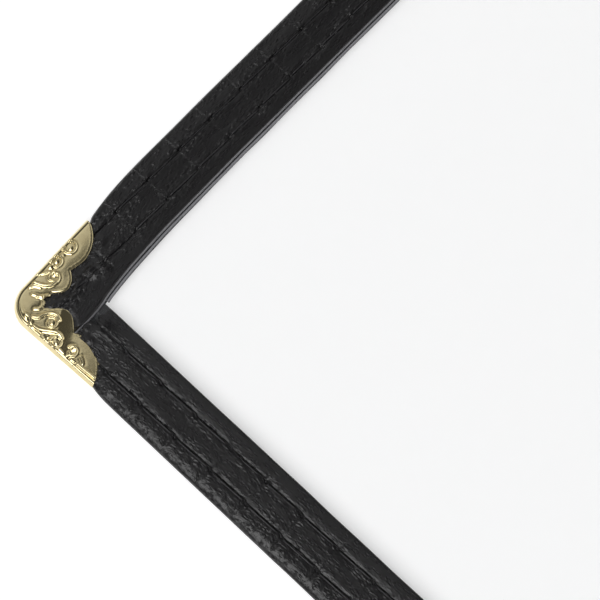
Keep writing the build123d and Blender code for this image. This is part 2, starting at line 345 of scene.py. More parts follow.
def film_material():
    """Calendered PVC film: clear, with a gloss that grows at a slant and the slightest haze.
    The gloss is on outer sides only, because within the sheet it would mirror like a solid."""
    material, tree = new_material("clear_pvc_film")
    place = add_node(tree, "ShaderNodeTexCoord").outputs["Object"]
    ripples = {"Scale": 1 / (RIPPLE_SPACING * MM), "Detail": 2}
    ripple = add_node(tree, "ShaderNodeTexNoise", ripples, {"Vector": place})
    relief = {"Distance": RIPPLE_DEPTH * MM, "Strength": 0.5}
    bump = add_node(tree, "ShaderNodeBump", relief, {"Height": ripple})
    clear = add_node(tree, "ShaderNodeBsdfTransparent", {"Color": linear(colours().film)})
    gloss = add_node(
        tree,
        "ShaderNodeBsdfPrincipled",
        {"Base Color": linear(FILM_HAZE), "Roughness": 0.12, "IOR": 1.53, "Coat Weight": 0.5},
        {"Normal": bump},
    )
    slant = add_node(tree, "ShaderNodeLayerWeight", {"Blend": 0.18}).outputs["Fresnel"]
    share = add_node(
        tree, "ShaderNodeMapRange", {"To Min": 0.032, "To Max": 0.65}, {"Value": slant}
    )
    behind = add_node(tree, "ShaderNodeNewGeometry").outputs["Backfacing"]
    opposite = {"operation": "SUBTRACT", 0: 1.0, "use_clamp": True}
    front = add_node(tree, "ShaderNodeMath", opposite, {1: behind})
    shown = add_node(tree, "ShaderNodeMath", {"operation": "MULTIPLY"}, {0: share, 1: front})
    both = add_node(tree, "ShaderNodeMixShader", {}, {0: shown, 1: clear, 2: gloss})
    add_node(tree, "ShaderNodeOutputMaterial", {}, {"Surface": both})
    return material


# Light that the table sends of its own: to the camera, and into the metal's reflections
SEEN_LIFT = 0.56
MIRRORED_LIFT = 0.60


def table_material():
    """Pale laminate: matt white, drawn as bright as the paper-white studio table."""
    material, tree = new_material("white_table")
    plain = {"Color": linear(colours().table), "Roughness": 0.5}
    matt = add_node(tree, "ShaderNodeBsdfDiffuse", plain)
    path = add_node(tree, "ShaderNodeLightPath").outputs
    seen = add_node(
        tree,
        "ShaderNodeMath",
        {"operation": "MAXIMUM"},
        {0: path["Is Camera Ray"], 1: path["Is Transmission Ray"]},
    )
    for_sight = add_node(tree, "ShaderNodeMath", {"operation": "MULTIPLY", 1: SEEN_LIFT}, {0: seen})
    strength = add_node(
        tree,
        "ShaderNodeMath",
        {"operation": "MULTIPLY_ADD", 1: MIRRORED_LIFT},
        {0: path["Is Glossy Ray"], 2: for_sight},
    )
    lift = add_node(tree, "ShaderNodeEmission", {}, {"Strength": strength})
    both = add_node(tree, "ShaderNodeAddShader", {}, {0: matt, 1: lift})
    add_node(tree, "ShaderNodeOutputMaterial", {}, {"Surface": both})
    return material


MATERIAL_MAKERS = {
    "leatherette": leatherette_material,
    "thread": thread_material,
    "brass_plate": brass_material,
    "clear_vinyl": film_material,
}


def finish_of(slot):
    """The one material of a slot, made when it is first asked for."""
    if slot not in finish_of.made:
        finish_of.made[slot] = MATERIAL_MAKERS[slot]()
    return finish_of.made[slot]


finish_of.made = {}


# Meshes


def mesh_piece(name, points, faces, slot, uv=None, attributes=None):
    """A smooth mesh object from points in millimetres, in the cover's frame."""
    mesh = bpy.data.meshes.new(name)
    points = np.asarray(points, float) * MM
    flat = np.array([n for face in faces for n in face], np.int32)
    totals = np.array([len(face) for face in faces], np.int32)
    mesh.vertices.add(len(points))
    mesh.vertices.foreach_set("co", points.astype(np.float32).ravel())
    mesh.loops.add(len(flat))
    mesh.loops.foreach_set("vertex_index", flat)
    mesh.polygons.add(len(faces))
    mesh.polygons.foreach_set("loop_start", np.concatenate([[0], np.cumsum(totals)[:-1]]))
    mesh.polygons.foreach_set("loop_total", totals)
    mesh.update(calc_edges=True)
    if uv is not None:
        layer = mesh.uv_layers.new(name="strip")
        layer.data.foreach_set("uv", (np.asarray(uv)[flat] * MM).astype(np.float32).ravel())
    for title, values in (attributes or {}).items():
        made = mesh.attributes.new(title, "FLOAT", "POINT")
        made.data.foreach_set("value", np.asarray(values, np.float32).ravel())
    mesh.validate()
    mesh.shade_smooth()
    piece = bpy.data.objects.new(name, mesh)
    bpy.context.scene.collection.objects.link(piece)
    mesh.materials.append(finish_of(slot))
    return piece


def face_outward(piece):
    """Makes a closed mesh's faces point out."""
    shape = bmesh.new()
    shape.from_mesh(piece.data)
    bmesh.ops.recalc_face_normals(shape, faces=shape.faces)
    shape.to_mesh(piece.data)
    shape.free()
    piece.data.shade_smooth()


NOISE_CELLS = 64


def soft_noise(along, across, seed):
    """Smooth noise from -1 to 1, one lattice cell to a unit."""
    lattice = np.random.default_rng(seed).uniform(-1, 1, (NOISE_CELLS, NOISE_CELLS))
    a, b = np.broadcast_arrays(np.asarray(along, float), np.asarray(across, float))
    i, j = np.floor(a).astype(int), np.floor(b).astype(int)
    p, q = a - i, b - j
    p, q = p * p * (3 - 2 * p), q * q * (3 - 2 * q)
    i, j = i % NOISE_CELLS, j % NOISE_CELLS
    k, m = (i + 1) % NOISE_CELLS, (j + 1) % NOISE_CELLS
    near = lattice[i, j] * (1 - p) + lattice[k, j] * p
    far = lattice[i, m] * (1 - p) + lattice[k, m] * p
    return near * (1 - q) + far * q


def smooth_step(value, low, high):
    """0 up to low and 1 from high on, with a soft rise between."""
    share = np.clip((np.asarray(value, float) - low) / (high - low), 0, 1)
    return share * share * (3 - 2 * share)


def bell(value, centre, width):
    """1 at a centre, falling off softly to both sides."""
    return np.exp(-(((value - centre) / width) ** 2))


def through(stations, at):
    """Values at places along a strip, from (place, value) pairs, with soft corners."""
    places = np.array([place for place, value in stations], float)
    values = np.array([value for place, value in stations], float)
    slopes = np.gradient(values, places)
    at = np.clip(np.asarray(at, float), places[0], places[-1])
    n = np.clip(np.searchsorted(places, at) - 1, 0, len(places) - 2)
    step = places[n + 1] - places[n]
    t = (at - places[n]) / step
    rise = (2 * t**3 - 3 * t**2 + 1) * values[n] + (3 * t**2 - 2 * t**3) * values[n + 1]
    bend = (t**3 - 2 * t**2 + t) * slopes[n] + (t**3 - t**2) * slopes[n + 1]
    return rise + bend * step


# Trim

# Places along a strip are counted from the cover's corner, and insets from its outer edge.
# The edges are (place, inset) pairs that follow the photographed corner, where the metal
# pulls the trim in.
TOP_OUTER = (
    (1, 2.6), (21.3, 1.9), (22.2, 1.42), (24, 1.02), (26, 0.74), (28, 0.52), (32, 0.24),
    (42, 0.05), (60, 0),
)
TOP_INNER = (
    (1, 14.6), (12.7, 14.3), (14, 14.0), (16, 13.72), (20, 13.3), (28, 12.82), (40, 12.54),
    (60, 12.44),
)
SIDE_OUTER = ((1, 0.9), (21.3, 1.35), (22, 0.96), (24, 0.32), (26, 0.08), (29, 0), (60, 0))
SIDE_EXTRA = 0.02
TOP_START = 1.6
SIDE_START = 4.2
SPINE_START = 0.2
SPINE_END = 2 * HALF_HEIGHT - 0.4

# Rows of stitching, as insets, and their needle holes
TOP_ROWS = (4.06, 8.99)
SIDE_ROWS = (3.77, 8.93)
SPINE_ROWS = (4.3, 9.15)
TOP_FIRST_HOLE = 18.1
SIDE_FIRST_HOLE = 23.3
TOP_LAST_GAP = 1.2
SPINE_LAST_GAP = 3
SIDE_LOOSER = 0.5
SLANT = 0.13

# Stretches of a strip, counted from the corner, over which something fades in or out
EDGE_FREED = (24, 34)
GRIP_ENDS = (21.2, 27)
SQUEEZE_ENDS = (16, 24)
PUCKER_ENDS = (24, 32)
METAL_ENDS = (20.6, 21.4)
LAP_EDGE = 14.6
LAP_SOFTNESS = (-0.2, 2.6)
UNDER_LAP = 0.66
BESIDE_LAP = 0.24
BESIDE_LAP_ENDS = (19.5, 25)
OUTER_WANDER = 0.07
INNER_WANDER = 0.05
UNDER_WANDER = 0.04
METAL_CLEARANCE = 0.12

# Sections: the inner lip and its cut edge, the roll at the outer edge, and the plies inside
LIP_SHARES = np.array([0.03, 0.16, 0.80, 0.90, 0.97])
LIP_INSETS = np.array([0.05, 0.00, 0.27, 0.31, 0.38])
# Shares of the cut edge colour on the lip's rows: backing cloth on the cut face, a painted highlight
# on the bevel above it
LIP_CUT_AND_HIGHLIGHT = np.array([0.2, 0.6, 0.8, 0.1, 0.0])
LIP_REACH = 0.25
TURNED_LIP = 0.4
TOP_ROLL = 0.8
SPINE_ROLL = 1.1
ROLL_SHARES = np.array([0.12, 0.24, 0.36, 0.48, 0.59, 0.69, 0.78, 0.86, 0.92, 0.96, 0.99, 1.0])
SLOT_SHARES = np.array([1.0, 0.55, 0.2, 0.0])
SLOT_LIP = 0.2
FOLD_WALL = 0.55
TAPE_FOOT = 0.06
TAPE_STUB = 1.2
UNDER_SHOW = 0.57
# Share of the cut edge colour on the under flange's rounded rim: a painted highlight
UNDER_CUT_AND_HIGHLIGHT = 0.9
FLANGE_SHARES = np.array([0.0, 0.5, 1.0])
FLANGE_ROUND = np.array([0, 0, 0.06])
FLANGE_EDGE = np.array([0, 0.17, 0.36])
FLANGE_TOP = np.array([0.42, 0, 0])
UPPER_SHARES = np.array([0.3, 1.0])
PLY_GAP = 0.01
SPINE_CREASE = 0.55
SPINE_LOW = 0.58
SPINE_LIP = 0.9
SPINE_HEM = 0.3
SPINE_HOLLOW = (3.4, 0.9)
SPINE_FLOOR = 0.08

# Mesh spacing: from a needle hole on, to both sides of a row, and elsewhere
BESIDE_HOLE = np.array([0, 0.18, 0.4, 0.7, 1.1, 1.6, 2.15, 2.7, 3.25, 3.75])
BESIDE_ROW = (0, 0.06, 0.12, 0.18, 0.24, 0.30, 0.38, 0.5, 0.68)
BESIDE_SPINE_ROW = (0, 0.11, 0.22, 0.33, 0.5)
PLAIN_STEP = 0.4
ROW_REACH = 0.95
SPINE_CENTRE = np.array([0.85, 0.6, 0.35, 0.15])

# Puckers where the leather lies quiet, as a share
CALM = 0.04
TAPE_CALM = 0.05
SPINE_CALM = 0.1


class Strip(NamedTuple):
    """A strip laid along +X from the corner: arrays over the places along it, and its seams.

    The kind is top for an upper or lower strip and side for the one between."""

    kind: str
    places: np.ndarray
    mirrored: np.ndarray
    outer: np.ndarray
    inner: np.ndarray
    nipped: np.ndarray
    low: np.ndarray
    rows: tuple
    holes: np.ndarray


def strip_shape(kind, seed):
    """Where the edges, the underside and the needle holes of a strip run."""
    top = kind == "top"
    first, last = (TOP_START, STRIP_END) if top else (SIDE_START, 2 * HALF_HEIGHT - SIDE_START)
    holes = strip_holes(kind)
    places = long_grid(first, last, holes)
    mirrored = places if top else np.minimum(places, 2 * HALF_HEIGHT - places)
    outer = through(TOP_OUTER if top else SIDE_OUTER, mirrored)
    wander = OUTER_WANDER * soft_noise(places / 9, 0, seed + 5)
    outer = outer + wander * smooth_step(mirrored, *EDGE_FREED)
    outer = np.maximum(outer, inside_metal(mirrored, top))
    straight = np.full_like(places, TRIM_WIDTH + SIDE_EXTRA)
    inner = through(TOP_INNER, mirrored) if top else straight
    inner = inner + INNER_WANDER * soft_noise(places / 7, 1, seed + 6)
    low = np.full_like(places, sizes().flange_low)
    if not top:
        softly, fully = LAP_SOFTNESS
        under = 1 - smooth_step(mirrored, LAP_EDGE + softly, LAP_EDGE + fully)
        low = low - UNDER_LAP * under
        low = low - BESIDE_LAP * (1 - under) * (1 - smooth_step(mirrored, *BESIDE_LAP_ENDS))
    nipped = smooth_step(mirrored, *GRIP_ENDS)
    rows = TOP_ROWS if top else SIDE_ROWS
    return Strip(kind, places, mirrored, outer, inner, nipped, low, rows, holes)


def inside_metal(along, top):
    """Least inset at which leather lies within a corner's wall, 0 beyond the corner."""
    drop, reach = (CORNER_DROP, along) if top else (0.0, along - CORNER_DROP)
    slope = -sin(CORNER_SKEW) if top else sin(CORNER_SKEW)
    short = np.clip(TIP_ROUND - reach, 0, TIP_ROUND)
    rounding = TIP_ROUND - np.sqrt(TIP_ROUND**2 - short**2)
    inset = drop + slope * reach + rounding + sizes().sheet_metal + METAL_CLEARANCE
    return inset * (1 - smooth_step(reach, *METAL_ENDS))


def hole_places(first, last):
    """Needle holes from the first, a stitch apart, up to the last place."""
    pitch = sizes().pitch
    return first + pitch * np.arange(int((last - first) / pitch) + 1)


def strip_holes(kind):
    """Needle holes along a strip. The sides are sewn a little looser than the ends."""
    if kind == "top":
        return hole_places(TOP_FIRST_HOLE, STRIP_END - TOP_LAST_GAP)
    span = 2 * HALF_HEIGHT - 2 * SIDE_FIRST_HOLE
    count = int(round(span / (sizes().pitch + SIDE_LOOSER)))
    return SIDE_FIRST_HOLE + span / count * np.arange(count + 1)


def spine_holes():
    """Needle holes along the spine."""
    return hole_places(SIDE_FIRST_HOLE - 2 * sizes().pitch, 2 * HALF_HEIGHT - SPINE_LAST_GAP)


def long_grid(first, last, holes):
    """Places along a strip, closer together beside the needle holes."""
    pitch = holes[1] - holes[0]
    offsets = np.concatenate([BESIDE_HOLE, pitch - BESIDE_HOLE[:0:-1]])
    start = holes[0] - pitch * np.ceil((holes[0] - first) / pitch)
    blocks = start + pitch * np.arange(int((last - start) / pitch) + 2)
    places = (blocks[:, None] + offsets[None, :]).ravel()
    places = places[(places > first + 0.1) & (places < last - 0.1)]
    return np.concatenate([[first], places, [last]])


def cross_grid(rows, inner, roll, beside=BESIDE_ROW):
    """Insets across a face from its inner edge to its roll, closer together at the rows."""
    insets = [row + side * step for row in rows for step in beside for side in (1, -1)]
    insets = [value for value in insets if value > roll + 0.05]
    plain = np.arange(roll, inner - LIP_REACH, PLAIN_STEP)
    far = [value for value in plain if min(abs(value - row) for row in rows) > ROW_REACH]
    return np.array(sorted(set(np.round(insets + far + [roll], 4)), reverse=True))


def stitch_lean(along, holes):
    """How far a slanted stitch lies off its row, and the distance to the nearest hole."""
    pitch = holes[1] - holes[0]
    phase = (along - holes[0]) / pitch
    phase = phase - np.floor(phase)
    nearest = np.minimum(phase, 1 - phase) * pitch
    return SLANT * (1 - 2 * phase) * smooth_step(nearest, 0, 0.35), nearest


# Swell of a face, as shares of the pillow. A level face rises softly from its seams and stays
# up. A sloped one stands highest at its seams and falls off.
LEVEL_RISES = ((0.15, 0.95), (0.15, 0.9))
LEVEL_FALL = 0.75
LEVEL_FLANGE = (0.6, 0.2)
LEVEL_OUTSIDE = 0.6
LEVEL_OUTSIDE_RISE = 2.4
SLOPED_RISE = 0.3
SLOPED_MIDDLE = 2.4
SLOPED_FLANGE = 2.0
SLOPED_OUTSIDE = 1.2
SLOPED_OUTSIDE_RISE = 0.4
SLOPED_DROP = 0.9
SLOPED_DROP_REACH = (0.4, 3.4)


def swelling(inset, inner, rows, sloped):
    """How far a face swells between and beside its rows, as a share of the pillow."""
    first, second = rows
    middle = np.clip((inset - first) / (second - first), 0, 1)
    edge = np.clip((inset - second) / (inner - second), 0, 1)
    outside = first - inset
    if sloped:
        between = SLOPED_MIDDLE * (1 - middle) ** 2 * smooth_step(inset, first, first + SLOPED_RISE)
        flange = SLOPED_FLANGE * (1 - edge) ** 2 * smooth_step(inset, second, second + SLOPED_RISE)
        beside = SLOPED_OUTSIDE * smooth_step(outside, 0, SLOPED_OUTSIDE_RISE)
        return between + flange + beside - SLOPED_DROP * smooth_step(outside, *SLOPED_DROP_REACH)
    between = smooth_step(inset - first, *LEVEL_RISES[0]) * (1 - LEVEL_FALL * middle)
    height, rise = LEVEL_FLANGE
    flange = smooth_step(inset - second, *LEVEL_RISES[1]) * (height + rise * edge)
    return between + flange + LEVEL_OUTSIDE * smooth_step(outside, 0, LEVEL_OUTSIDE_RISE)


# A seam, across its row and along to its holes: (place, width) pairs in mm, then depths
THREAD_BED = (0.22, 0.12)
DRAWN_IN = (0, 0.2)
DIP_WIDTH = 0.7
PIT_ALONG = (0, 0.26)
PIT_ACROSS = (0, 0.24)
HOOKS = (((0.45, 0.30), (-0.42, 0.20)), ((0.8, 0.5), (0.42, 0.2)))
HOLE_WIDTH = 0.7
ROW_WANDER = 0.06
DRAWN_SHARE = 0.2
DIP = 0.03
LEVEL_HOLE_DIP = 0.10
SLOPED_HOLE_DIP = 0.05
PIT_DEPTH = 0.38
HOOK_HEIGHT = 0.08
# Puckers of the skin, as shares, and heights of the folds in it
PUCKER = (0.20, 0.26)
ROW_PUCKER = 0.85
ROW_PUCKER_WIDTH = 1.3
ROLL_PUCKER = 0.5
CORNER_PUCKER = 0.4
CALM_FLANGE = 0.85
WRINKLE = 0.035
PUCKERED_WRINKLE = 0.05
SWAY = 0.04


def face_height(along, inset, ply, rows, holes, seed, lean=1, sloped=False):
    """Height of the stitched face above mid-plane, and how puckered it is, 0 to 1.

    ply is the height of its underside, its inner edge and how free of the metal it is."""
    size = sizes()
    low, inner, nipped = ply
    first, second = rows
    height = low + size.leather + size.pillow * nipped * swelling(inset, inner, rows, sloped)
    height = height - 0.02 * smooth_step(inset, inner - 1.4, inner)
    slant, nearest = stitch_lean(along, holes)
    unsewn = along < holes[0] - 1
    at_hole = bell(nearest, 0, HOLE_WIDTH)
    hole_dip = SLOPED_HOLE_DIP if sloped else LEVEL_HOLE_DIP
    pucker = PUCKER[0] + PUCKER[1] * soft_noise(along / 9, inset / 4, seed + 1)
    for number, row in enumerate(rows):
        wander = ROW_WANDER * soft_noise(along / 7, number, seed + 9) - lean * slant
        away = inset - row - wander
        hollow = bell(away, *THREAD_BED) * (1 - 0.5 * at_hole) + DRAWN_SHARE * bell(away, *DRAWN_IN)
        dip = (DIP + hole_dip * at_hole) * bell(inset, row, DIP_WIDTH)
        pit = bell(nearest, *PIT_ALONG) * bell(away, *PIT_ACROSS)
        hooks = sum(bell(nearest, *beside) * bell(away, *across) for beside, across in HOOKS)
        height = height - np.where(unsewn, 0.5, 1.0) * (size.groove * hollow + dip)
        height = height - np.where(unsewn, 0, PIT_DEPTH) * pit + HOOK_HEIGHT * hooks
        puckered = bell(inset, row, ROW_PUCKER_WIDTH) * (0.75 + 0.5 * at_hole)
        pucker = pucker + ROW_PUCKER * puckered
    pucker = pucker + ROLL_PUCKER * smooth_step(first - inset, 0.4, 1.6)
    pucker = pucker + CORNER_PUCKER * (1 - smooth_step(along, *PUCKER_ENDS))
    calmed = CALM_FLANGE * smooth_step(inset, second + 1.3, second + 2.2)
    pucker = np.clip(pucker * (1 - calmed), CALM, 1)
    folds = WRINKLE * soft_noise(along / 1.7, inset / 0.8, seed + 2)
    folds = folds + PUCKERED_WRINKLE * soft_noise(along / 0.9, inset / 0.75, seed + 3) * pucker
    folds = folds * (0.2 + 0.8 * pucker) * (0.5 + 0.5 * nipped)
    sway = SWAY * soft_noise(along / 13, inset / 4, seed + 4)
    return height + folds + sway * nipped, pucker


# Leather squeezed up beside a metal corner: insets over which it rises and falls, its height,
# and creases through it, each a spacing, a turn and a seed
SQUEEZE_RISES = (3, 5)
SQUEEZE_FALLS = (9, 12)
SQUEEZED = (0.34, 0.26)
CREASE_DEPTH = 0.26
CREASE_WIDTH = 0.15
CREASES = ((1.7, 0.5, 32), (1.2, -0.7, 33))


def squeezed_up(along, insets, mirrored, seed):
    """Extra height of the leather that a metal corner squeezes up, with creases through it."""
    share = smooth_step(insets, *SQUEEZE_RISES) * (1 - smooth_step(insets, *SQUEEZE_FALLS))
    share = share * (1 - smooth_step(mirrored, *SQUEEZE_ENDS))
    tall, uneven = SQUEEZED
    height = tall + uneven * soft_noise(along / 1.9, insets / 1.2, seed + 31)
    for spacing, turn, offset in CREASES:
        run, beside = along + turn * insets, insets - turn * along
        fold_line = soft_noise(run / spacing, beside / 2.4, seed + offset)
        height = height - CREASE_DEPTH * bell(fold_line, 0, CREASE_WIDTH)
    return share * height


# Crumples of a rolled edge: a height, spacings along and round, and a seed
CRUMPLES = ((0.045, 1.0, 0.25, 7), (0.035, 0.6, 0.16, 12))
TOP_CRUMPLE = 0.3


def half_section(strip, seed, foot, lean=1):
    """One face of a strip: its inner edge, face and roll down to the foot height."""
    side = strip.kind == "side"
    first, second = strip.rows
    roll = sizes().roll if side else TOP_ROLL
    mirrored, low, inner, outer, nipped = (
        values[:, None]
        for values in (strip.mirrored, strip.low, strip.inner, strip.outer, strip.nipped)
    )
    grid = cross_grid(strip.rows, TRIM_WIDTH, roll)
    stretch = (inner - LIP_REACH - second) / (grid[0] - second)
    insets = np.where(grid > second, second + (grid - second) * stretch, grid)
    insets = insets + outer * np.clip((first - grid) / (first - roll), 0, 1)
    along = np.broadcast_to(strip.places[:, None], insets.shape)
    ply = (low, inner, nipped)
    height, pucker = face_height(
        along, insets, ply, strip.rows, strip.holes, seed, lean, sloped=not side
    )
    height = height + squeezed_up(along, insets, mirrored, seed)
    height = np.minimum(height, plate_cap(mirrored, insets, side))
    lip = low + (height[:, :1] - low) * LIP_SHARES
    lip_inset = inner - LIP_INSETS * (TURNED_LIP if side else 1)
    roll_inset = insets[:, -1:] - (insets[:, -1:] - outer) * ROLL_SHARES
    crumple = sum(
        tall * soft_noise(along[:, :1] / run, ROLL_SHARES / turn, seed + offset)
        for tall, run, turn, offset in CRUMPLES
    )
    crumple = crumple * np.sin(pi * ROLL_SHARES) ** 0.5 * (1 if side else TOP_CRUMPLE)
    fallen = np.sqrt(1 - ROLL_SHARES**2)
    roll_height = foot + (height[:, -1:] - foot) * fallen + crumple * nipped
    roll_height = np.minimum(roll_height, plate_cap(mirrored, roll_inset, side))
    roll_pucker = pucker[:, -1:] * (1 - 0.6 * ROLL_SHARES**3)
    return (
        np.hstack([lip_inset, insets, roll_inset]),
        np.hstack([lip, height, roll_height]),
        np.hstack([np.full(lip.shape, CALM), pucker, roll_pucker]),
    )


def swept(places, insets, heights, puckers, cuts_and_highlights):
    """Points, faces, UVs and attributes of a closed strip from its section loops."""
    count, around = insets.shape
    points = np.stack([np.broadcast_to(places[:, None], insets.shape), -insets, heights], axis=-1)
    steps = np.hypot(np.diff(insets, axis=1), np.diff(heights, axis=1))
    across = np.hstack([np.zeros((count, 1)), np.cumsum(steps, axis=1)])
    uv = np.stack([points[..., 0], across], axis=-1)
    index = np.arange(count * around).reshape(count, around)
    turned = np.roll(index, -1, axis=1)
    quads = np.stack([index[:-1], turned[:-1], turned[1:], index[1:]], axis=-1).reshape(-1, 4)
    faces = quads.tolist() + [index[0].tolist(), index[-1][::-1].tolist()]
    attributes = {"pucker": puckers.ravel(), "cut": np.broadcast_to(cuts_and_highlights, insets.shape).ravel()}
    return points.reshape(-1, 3), faces, uv.reshape(-1, 2), attributes


def binding(kind, seed):
    """A binding folded round both sheets: two stitched faces and the slot between them."""
    strip = strip_shape(kind, seed)
    insets, heights, puckers = half_section(strip, seed, 0.0)
    back = half_section(strip, seed + 40, 0.0, -1)
    deep = strip.outer + FOLD_WALL
    slot_inset = deep[:, None] + (strip.inner - deep - SLOT_LIP)[:, None] * SLOT_SHARES
    slot_height = np.broadcast_to(strip.low[:, None], slot_inset.shape)
    calm = np.full(slot_inset.shape, CALM)
    loop_insets = np.hstack([insets, back[0][:, -2::-1], slot_inset, slot_inset[:, ::-1]])
    loop_heights = np.hstack([heights, -back[1][:, -2::-1], -slot_height, slot_height])
    loop_puckers = np.hstack([puckers, back[2][:, -2::-1], calm, calm])
    # The cut edge colour on the face's lip: backing cloth and painted highlight; the side's turned lip
    # gets none
    cut = np.zeros(insets.shape[1])
    cut[: len(LIP_CUT_AND_HIGHLIGHT)] = 0 if kind == "side" else LIP_CUT_AND_HIGHLIGHT
    cuts_and_highlights = np.concatenate([cut, cut[-2::-1], np.zeros(2 * len(SLOT_SHARES))])
    return swept(strip.places, loop_insets, loop_heights, loop_puckers, cuts_and_highlights)


def open_tape(seed, lean):
    """A tape folded round one sheet, with its under flange showing past the face's edge."""
    size = sizes()
    strip = strip_shape("top", seed)
    places = strip.places
    insets, heights, puckers = half_section(strip, seed, TAPE_FOOT, lean)
    lapped = places < TRIM_WIDTH + 0.4
    reach = np.where(lapped, strip.outer + TAPE_STUB, strip.inner + UNDER_SHOW)
    reach = (reach + UNDER_WANDER * soft_noise(places / 5, 3, seed + 8))[:, None]
    start = strip.outer[:, None] + FOLD_WALL
    across = start + (reach - start) * FLANGE_SHARES
    under = np.hstack([across - FLANGE_ROUND, reach - FLANGE_EDGE])
    back = np.hstack([across[:, ::-1] - FLANGE_TOP, start])
    upper = start + (strip.inner[:, None] - SLOT_LIP - start) * UPPER_SHARES
    bottom, top = TAPE_FOOT, TAPE_FOOT + size.leather - 2 * PLY_GAP
    under_height = [bottom, bottom, bottom, bottom + 0.05, top - 0.12, top]
    upper_height = size.flange_low - PLY_GAP
    extra = np.array(under_height + [top] * 3 + [upper_height] * 3)
    loop_insets = np.hstack([insets, under, back, upper])
    loop_heights = np.hstack([heights, np.broadcast_to(extra, (len(places), len(extra)))])
    calm = np.full((len(places), len(extra)), TAPE_CALM)
    # The cut edge colour on the face's lip and on the under flange's rim: backing cloth and painted
    # highlight
    cuts_and_highlights = np.zeros(loop_insets.shape[1])
    cuts_and_highlights[: len(LIP_CUT_AND_HIGHLIGHT)] = LIP_CUT_AND_HIGHLIGHT
    cuts_and_highlights[insets.shape[1] + 4 : insets.shape[1] + 6] = UNDER_CUT_AND_HIGHLIGHT
    return swept(places, loop_insets, loop_heights, np.hstack([puckers, calm]), cuts_and_highlights)


def spine_cover(seed, lean):
    """The strip over the fold, laid along +X: two rows each side and a crease between."""
    size = sizes()
    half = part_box("spine_inner_strip")[1].x / MM
    holes = spine_holes()
    places = long_grid(SPINE_START, SPINE_END, holes)
    count = len(places)
    insets = np.concatenate([cross_grid(SPINE_ROWS, half, SPINE_ROLL, BESIDE_SPINE_ROW), SPINE_CENTRE])
    spread, across = np.meshgrid(places, insets, indexing="ij")
    ply = (size.flange_low, half, np.ones_like(spread))
    sunk = (1 - smooth_step(across, 0.1, 3.0)) ** 1.5
    softened = 0.5 + 0.5 * smooth_step(across, 0.3, 2.5)
    sides = []
    for offset, way in ((0, lean), (11, -lean)):
        height, pucker = face_height(spread, across, ply, SPINE_ROWS, holes, seed + offset, way)
        sides.append((height - (height - SPINE_LOW) * sunk, pucker * softened))
    (near, near_pucker), (far, far_pucker) = sides
    lip = size.flange_low + size.leather * SPINE_LIP * LIP_SHARES
    lips = np.broadcast_to(lip, (count, len(lip)))
    outline = np.concatenate([half - LIP_INSETS * TURNED_LIP, insets])
    below = np.array([half - SPINE_HEM, *SPINE_HOLLOW])
    below_height = np.array([size.flange_low, size.flange_low, SPINE_FLOOR])
    under = np.broadcast_to(np.concatenate([below_height, below_height[::-1]]), (count, 6))
    loop = np.concatenate([outline, [0.0], -outline[::-1], -below, below[::-1]])
    crease = np.full((count, 1), SPINE_CREASE)
    heights = np.hstack([lips, near, crease, far[:, ::-1], lips[:, ::-1], under])
    calm = np.full((count, 1), SPINE_CALM)
    edge = calm.repeat(len(lip), 1)
    below_calm = calm.repeat(6, 1)
    puckers = np.hstack([edge, near_pucker, calm, far_pucker[:, ::-1], edge, below_calm])
    cuts_and_highlights = np.zeros(heights.shape[1])
    return swept(places, np.broadcast_to(loop, heights.shape), heights, puckers, cuts_and_highlights)


# Metal corners

# Drawn in their own frame: x along the upper leg, y down the other leg, from the outer point.
# The outlines and scrolls follow the photographed corner.
CORNER_SKEW = radians(2.0)
CORNER_DROP = 2.2
CORNER_SPAN = 22
TIP_ROUND = 4.6
BEND = 0.34
BEND_TURNS = np.radians([14, 28, 42, 56, 70])
BULGE = 0.42
WALL_SHARES = (0.75, 0.5, 0.25, 0.0)
PLATE = 1.50
STEP_DOWN = 0.52
RIM_ROWS = (0.05, 0.10, 0.16, 0.24, 0.34)
RIDGE_REACH = 0.48
BEND_REACH = 0.42
UPPER_LOBE = (
    (21.4, 0.55), (21.15, 1.2), (20.5, 2.15), (19.3, 3.35), (17.8, 4.2), (15.6, 4.72),
    (13.9, 4.45), (12.6, 4.1),
)
UPPER_SMALL = (
    (12.6, 4.1), (11.9, 5.05), (11.0, 5.8), (9.8, 6.15), (8.6, 5.75), (7.9, 5.15), (7.25, 4.5),
)
FINGER = ((7.25, 4.5), (6.75, 4.65), (6.2, 4.35), (5.6, 4.1))
TONGUE = ((5.6, 4.1), (5.45, 4.6), (5.0, 5.0), (4.4, 5.2))
LOWER_SMALL = (
    (4.4, 5.2), (5.3, 6.25), (6.3, 7.4), (6.95, 8.4), (6.95, 9.6), (6.3, 10.7), (5.5, 11.5),
    (4.85, 12.2),
)
LOWER_LOBE = (
    (4.85, 12.2), (5.1, 13.2), (5.25, 14.8), (5.0, 16.6), (4.3, 18.4), (3.1, 19.8),
    (1.8, 20.75), (0.55, 21.2),
)
OUTLINE = (UPPER_LOBE, UPPER_SMALL, FINGER, TONGUE, LOWER_SMALL, LOWER_LOBE)
UPPER_END = OUTLINE[0][0][0]
LOWER_END = OUTLINE[-1][-1][1]

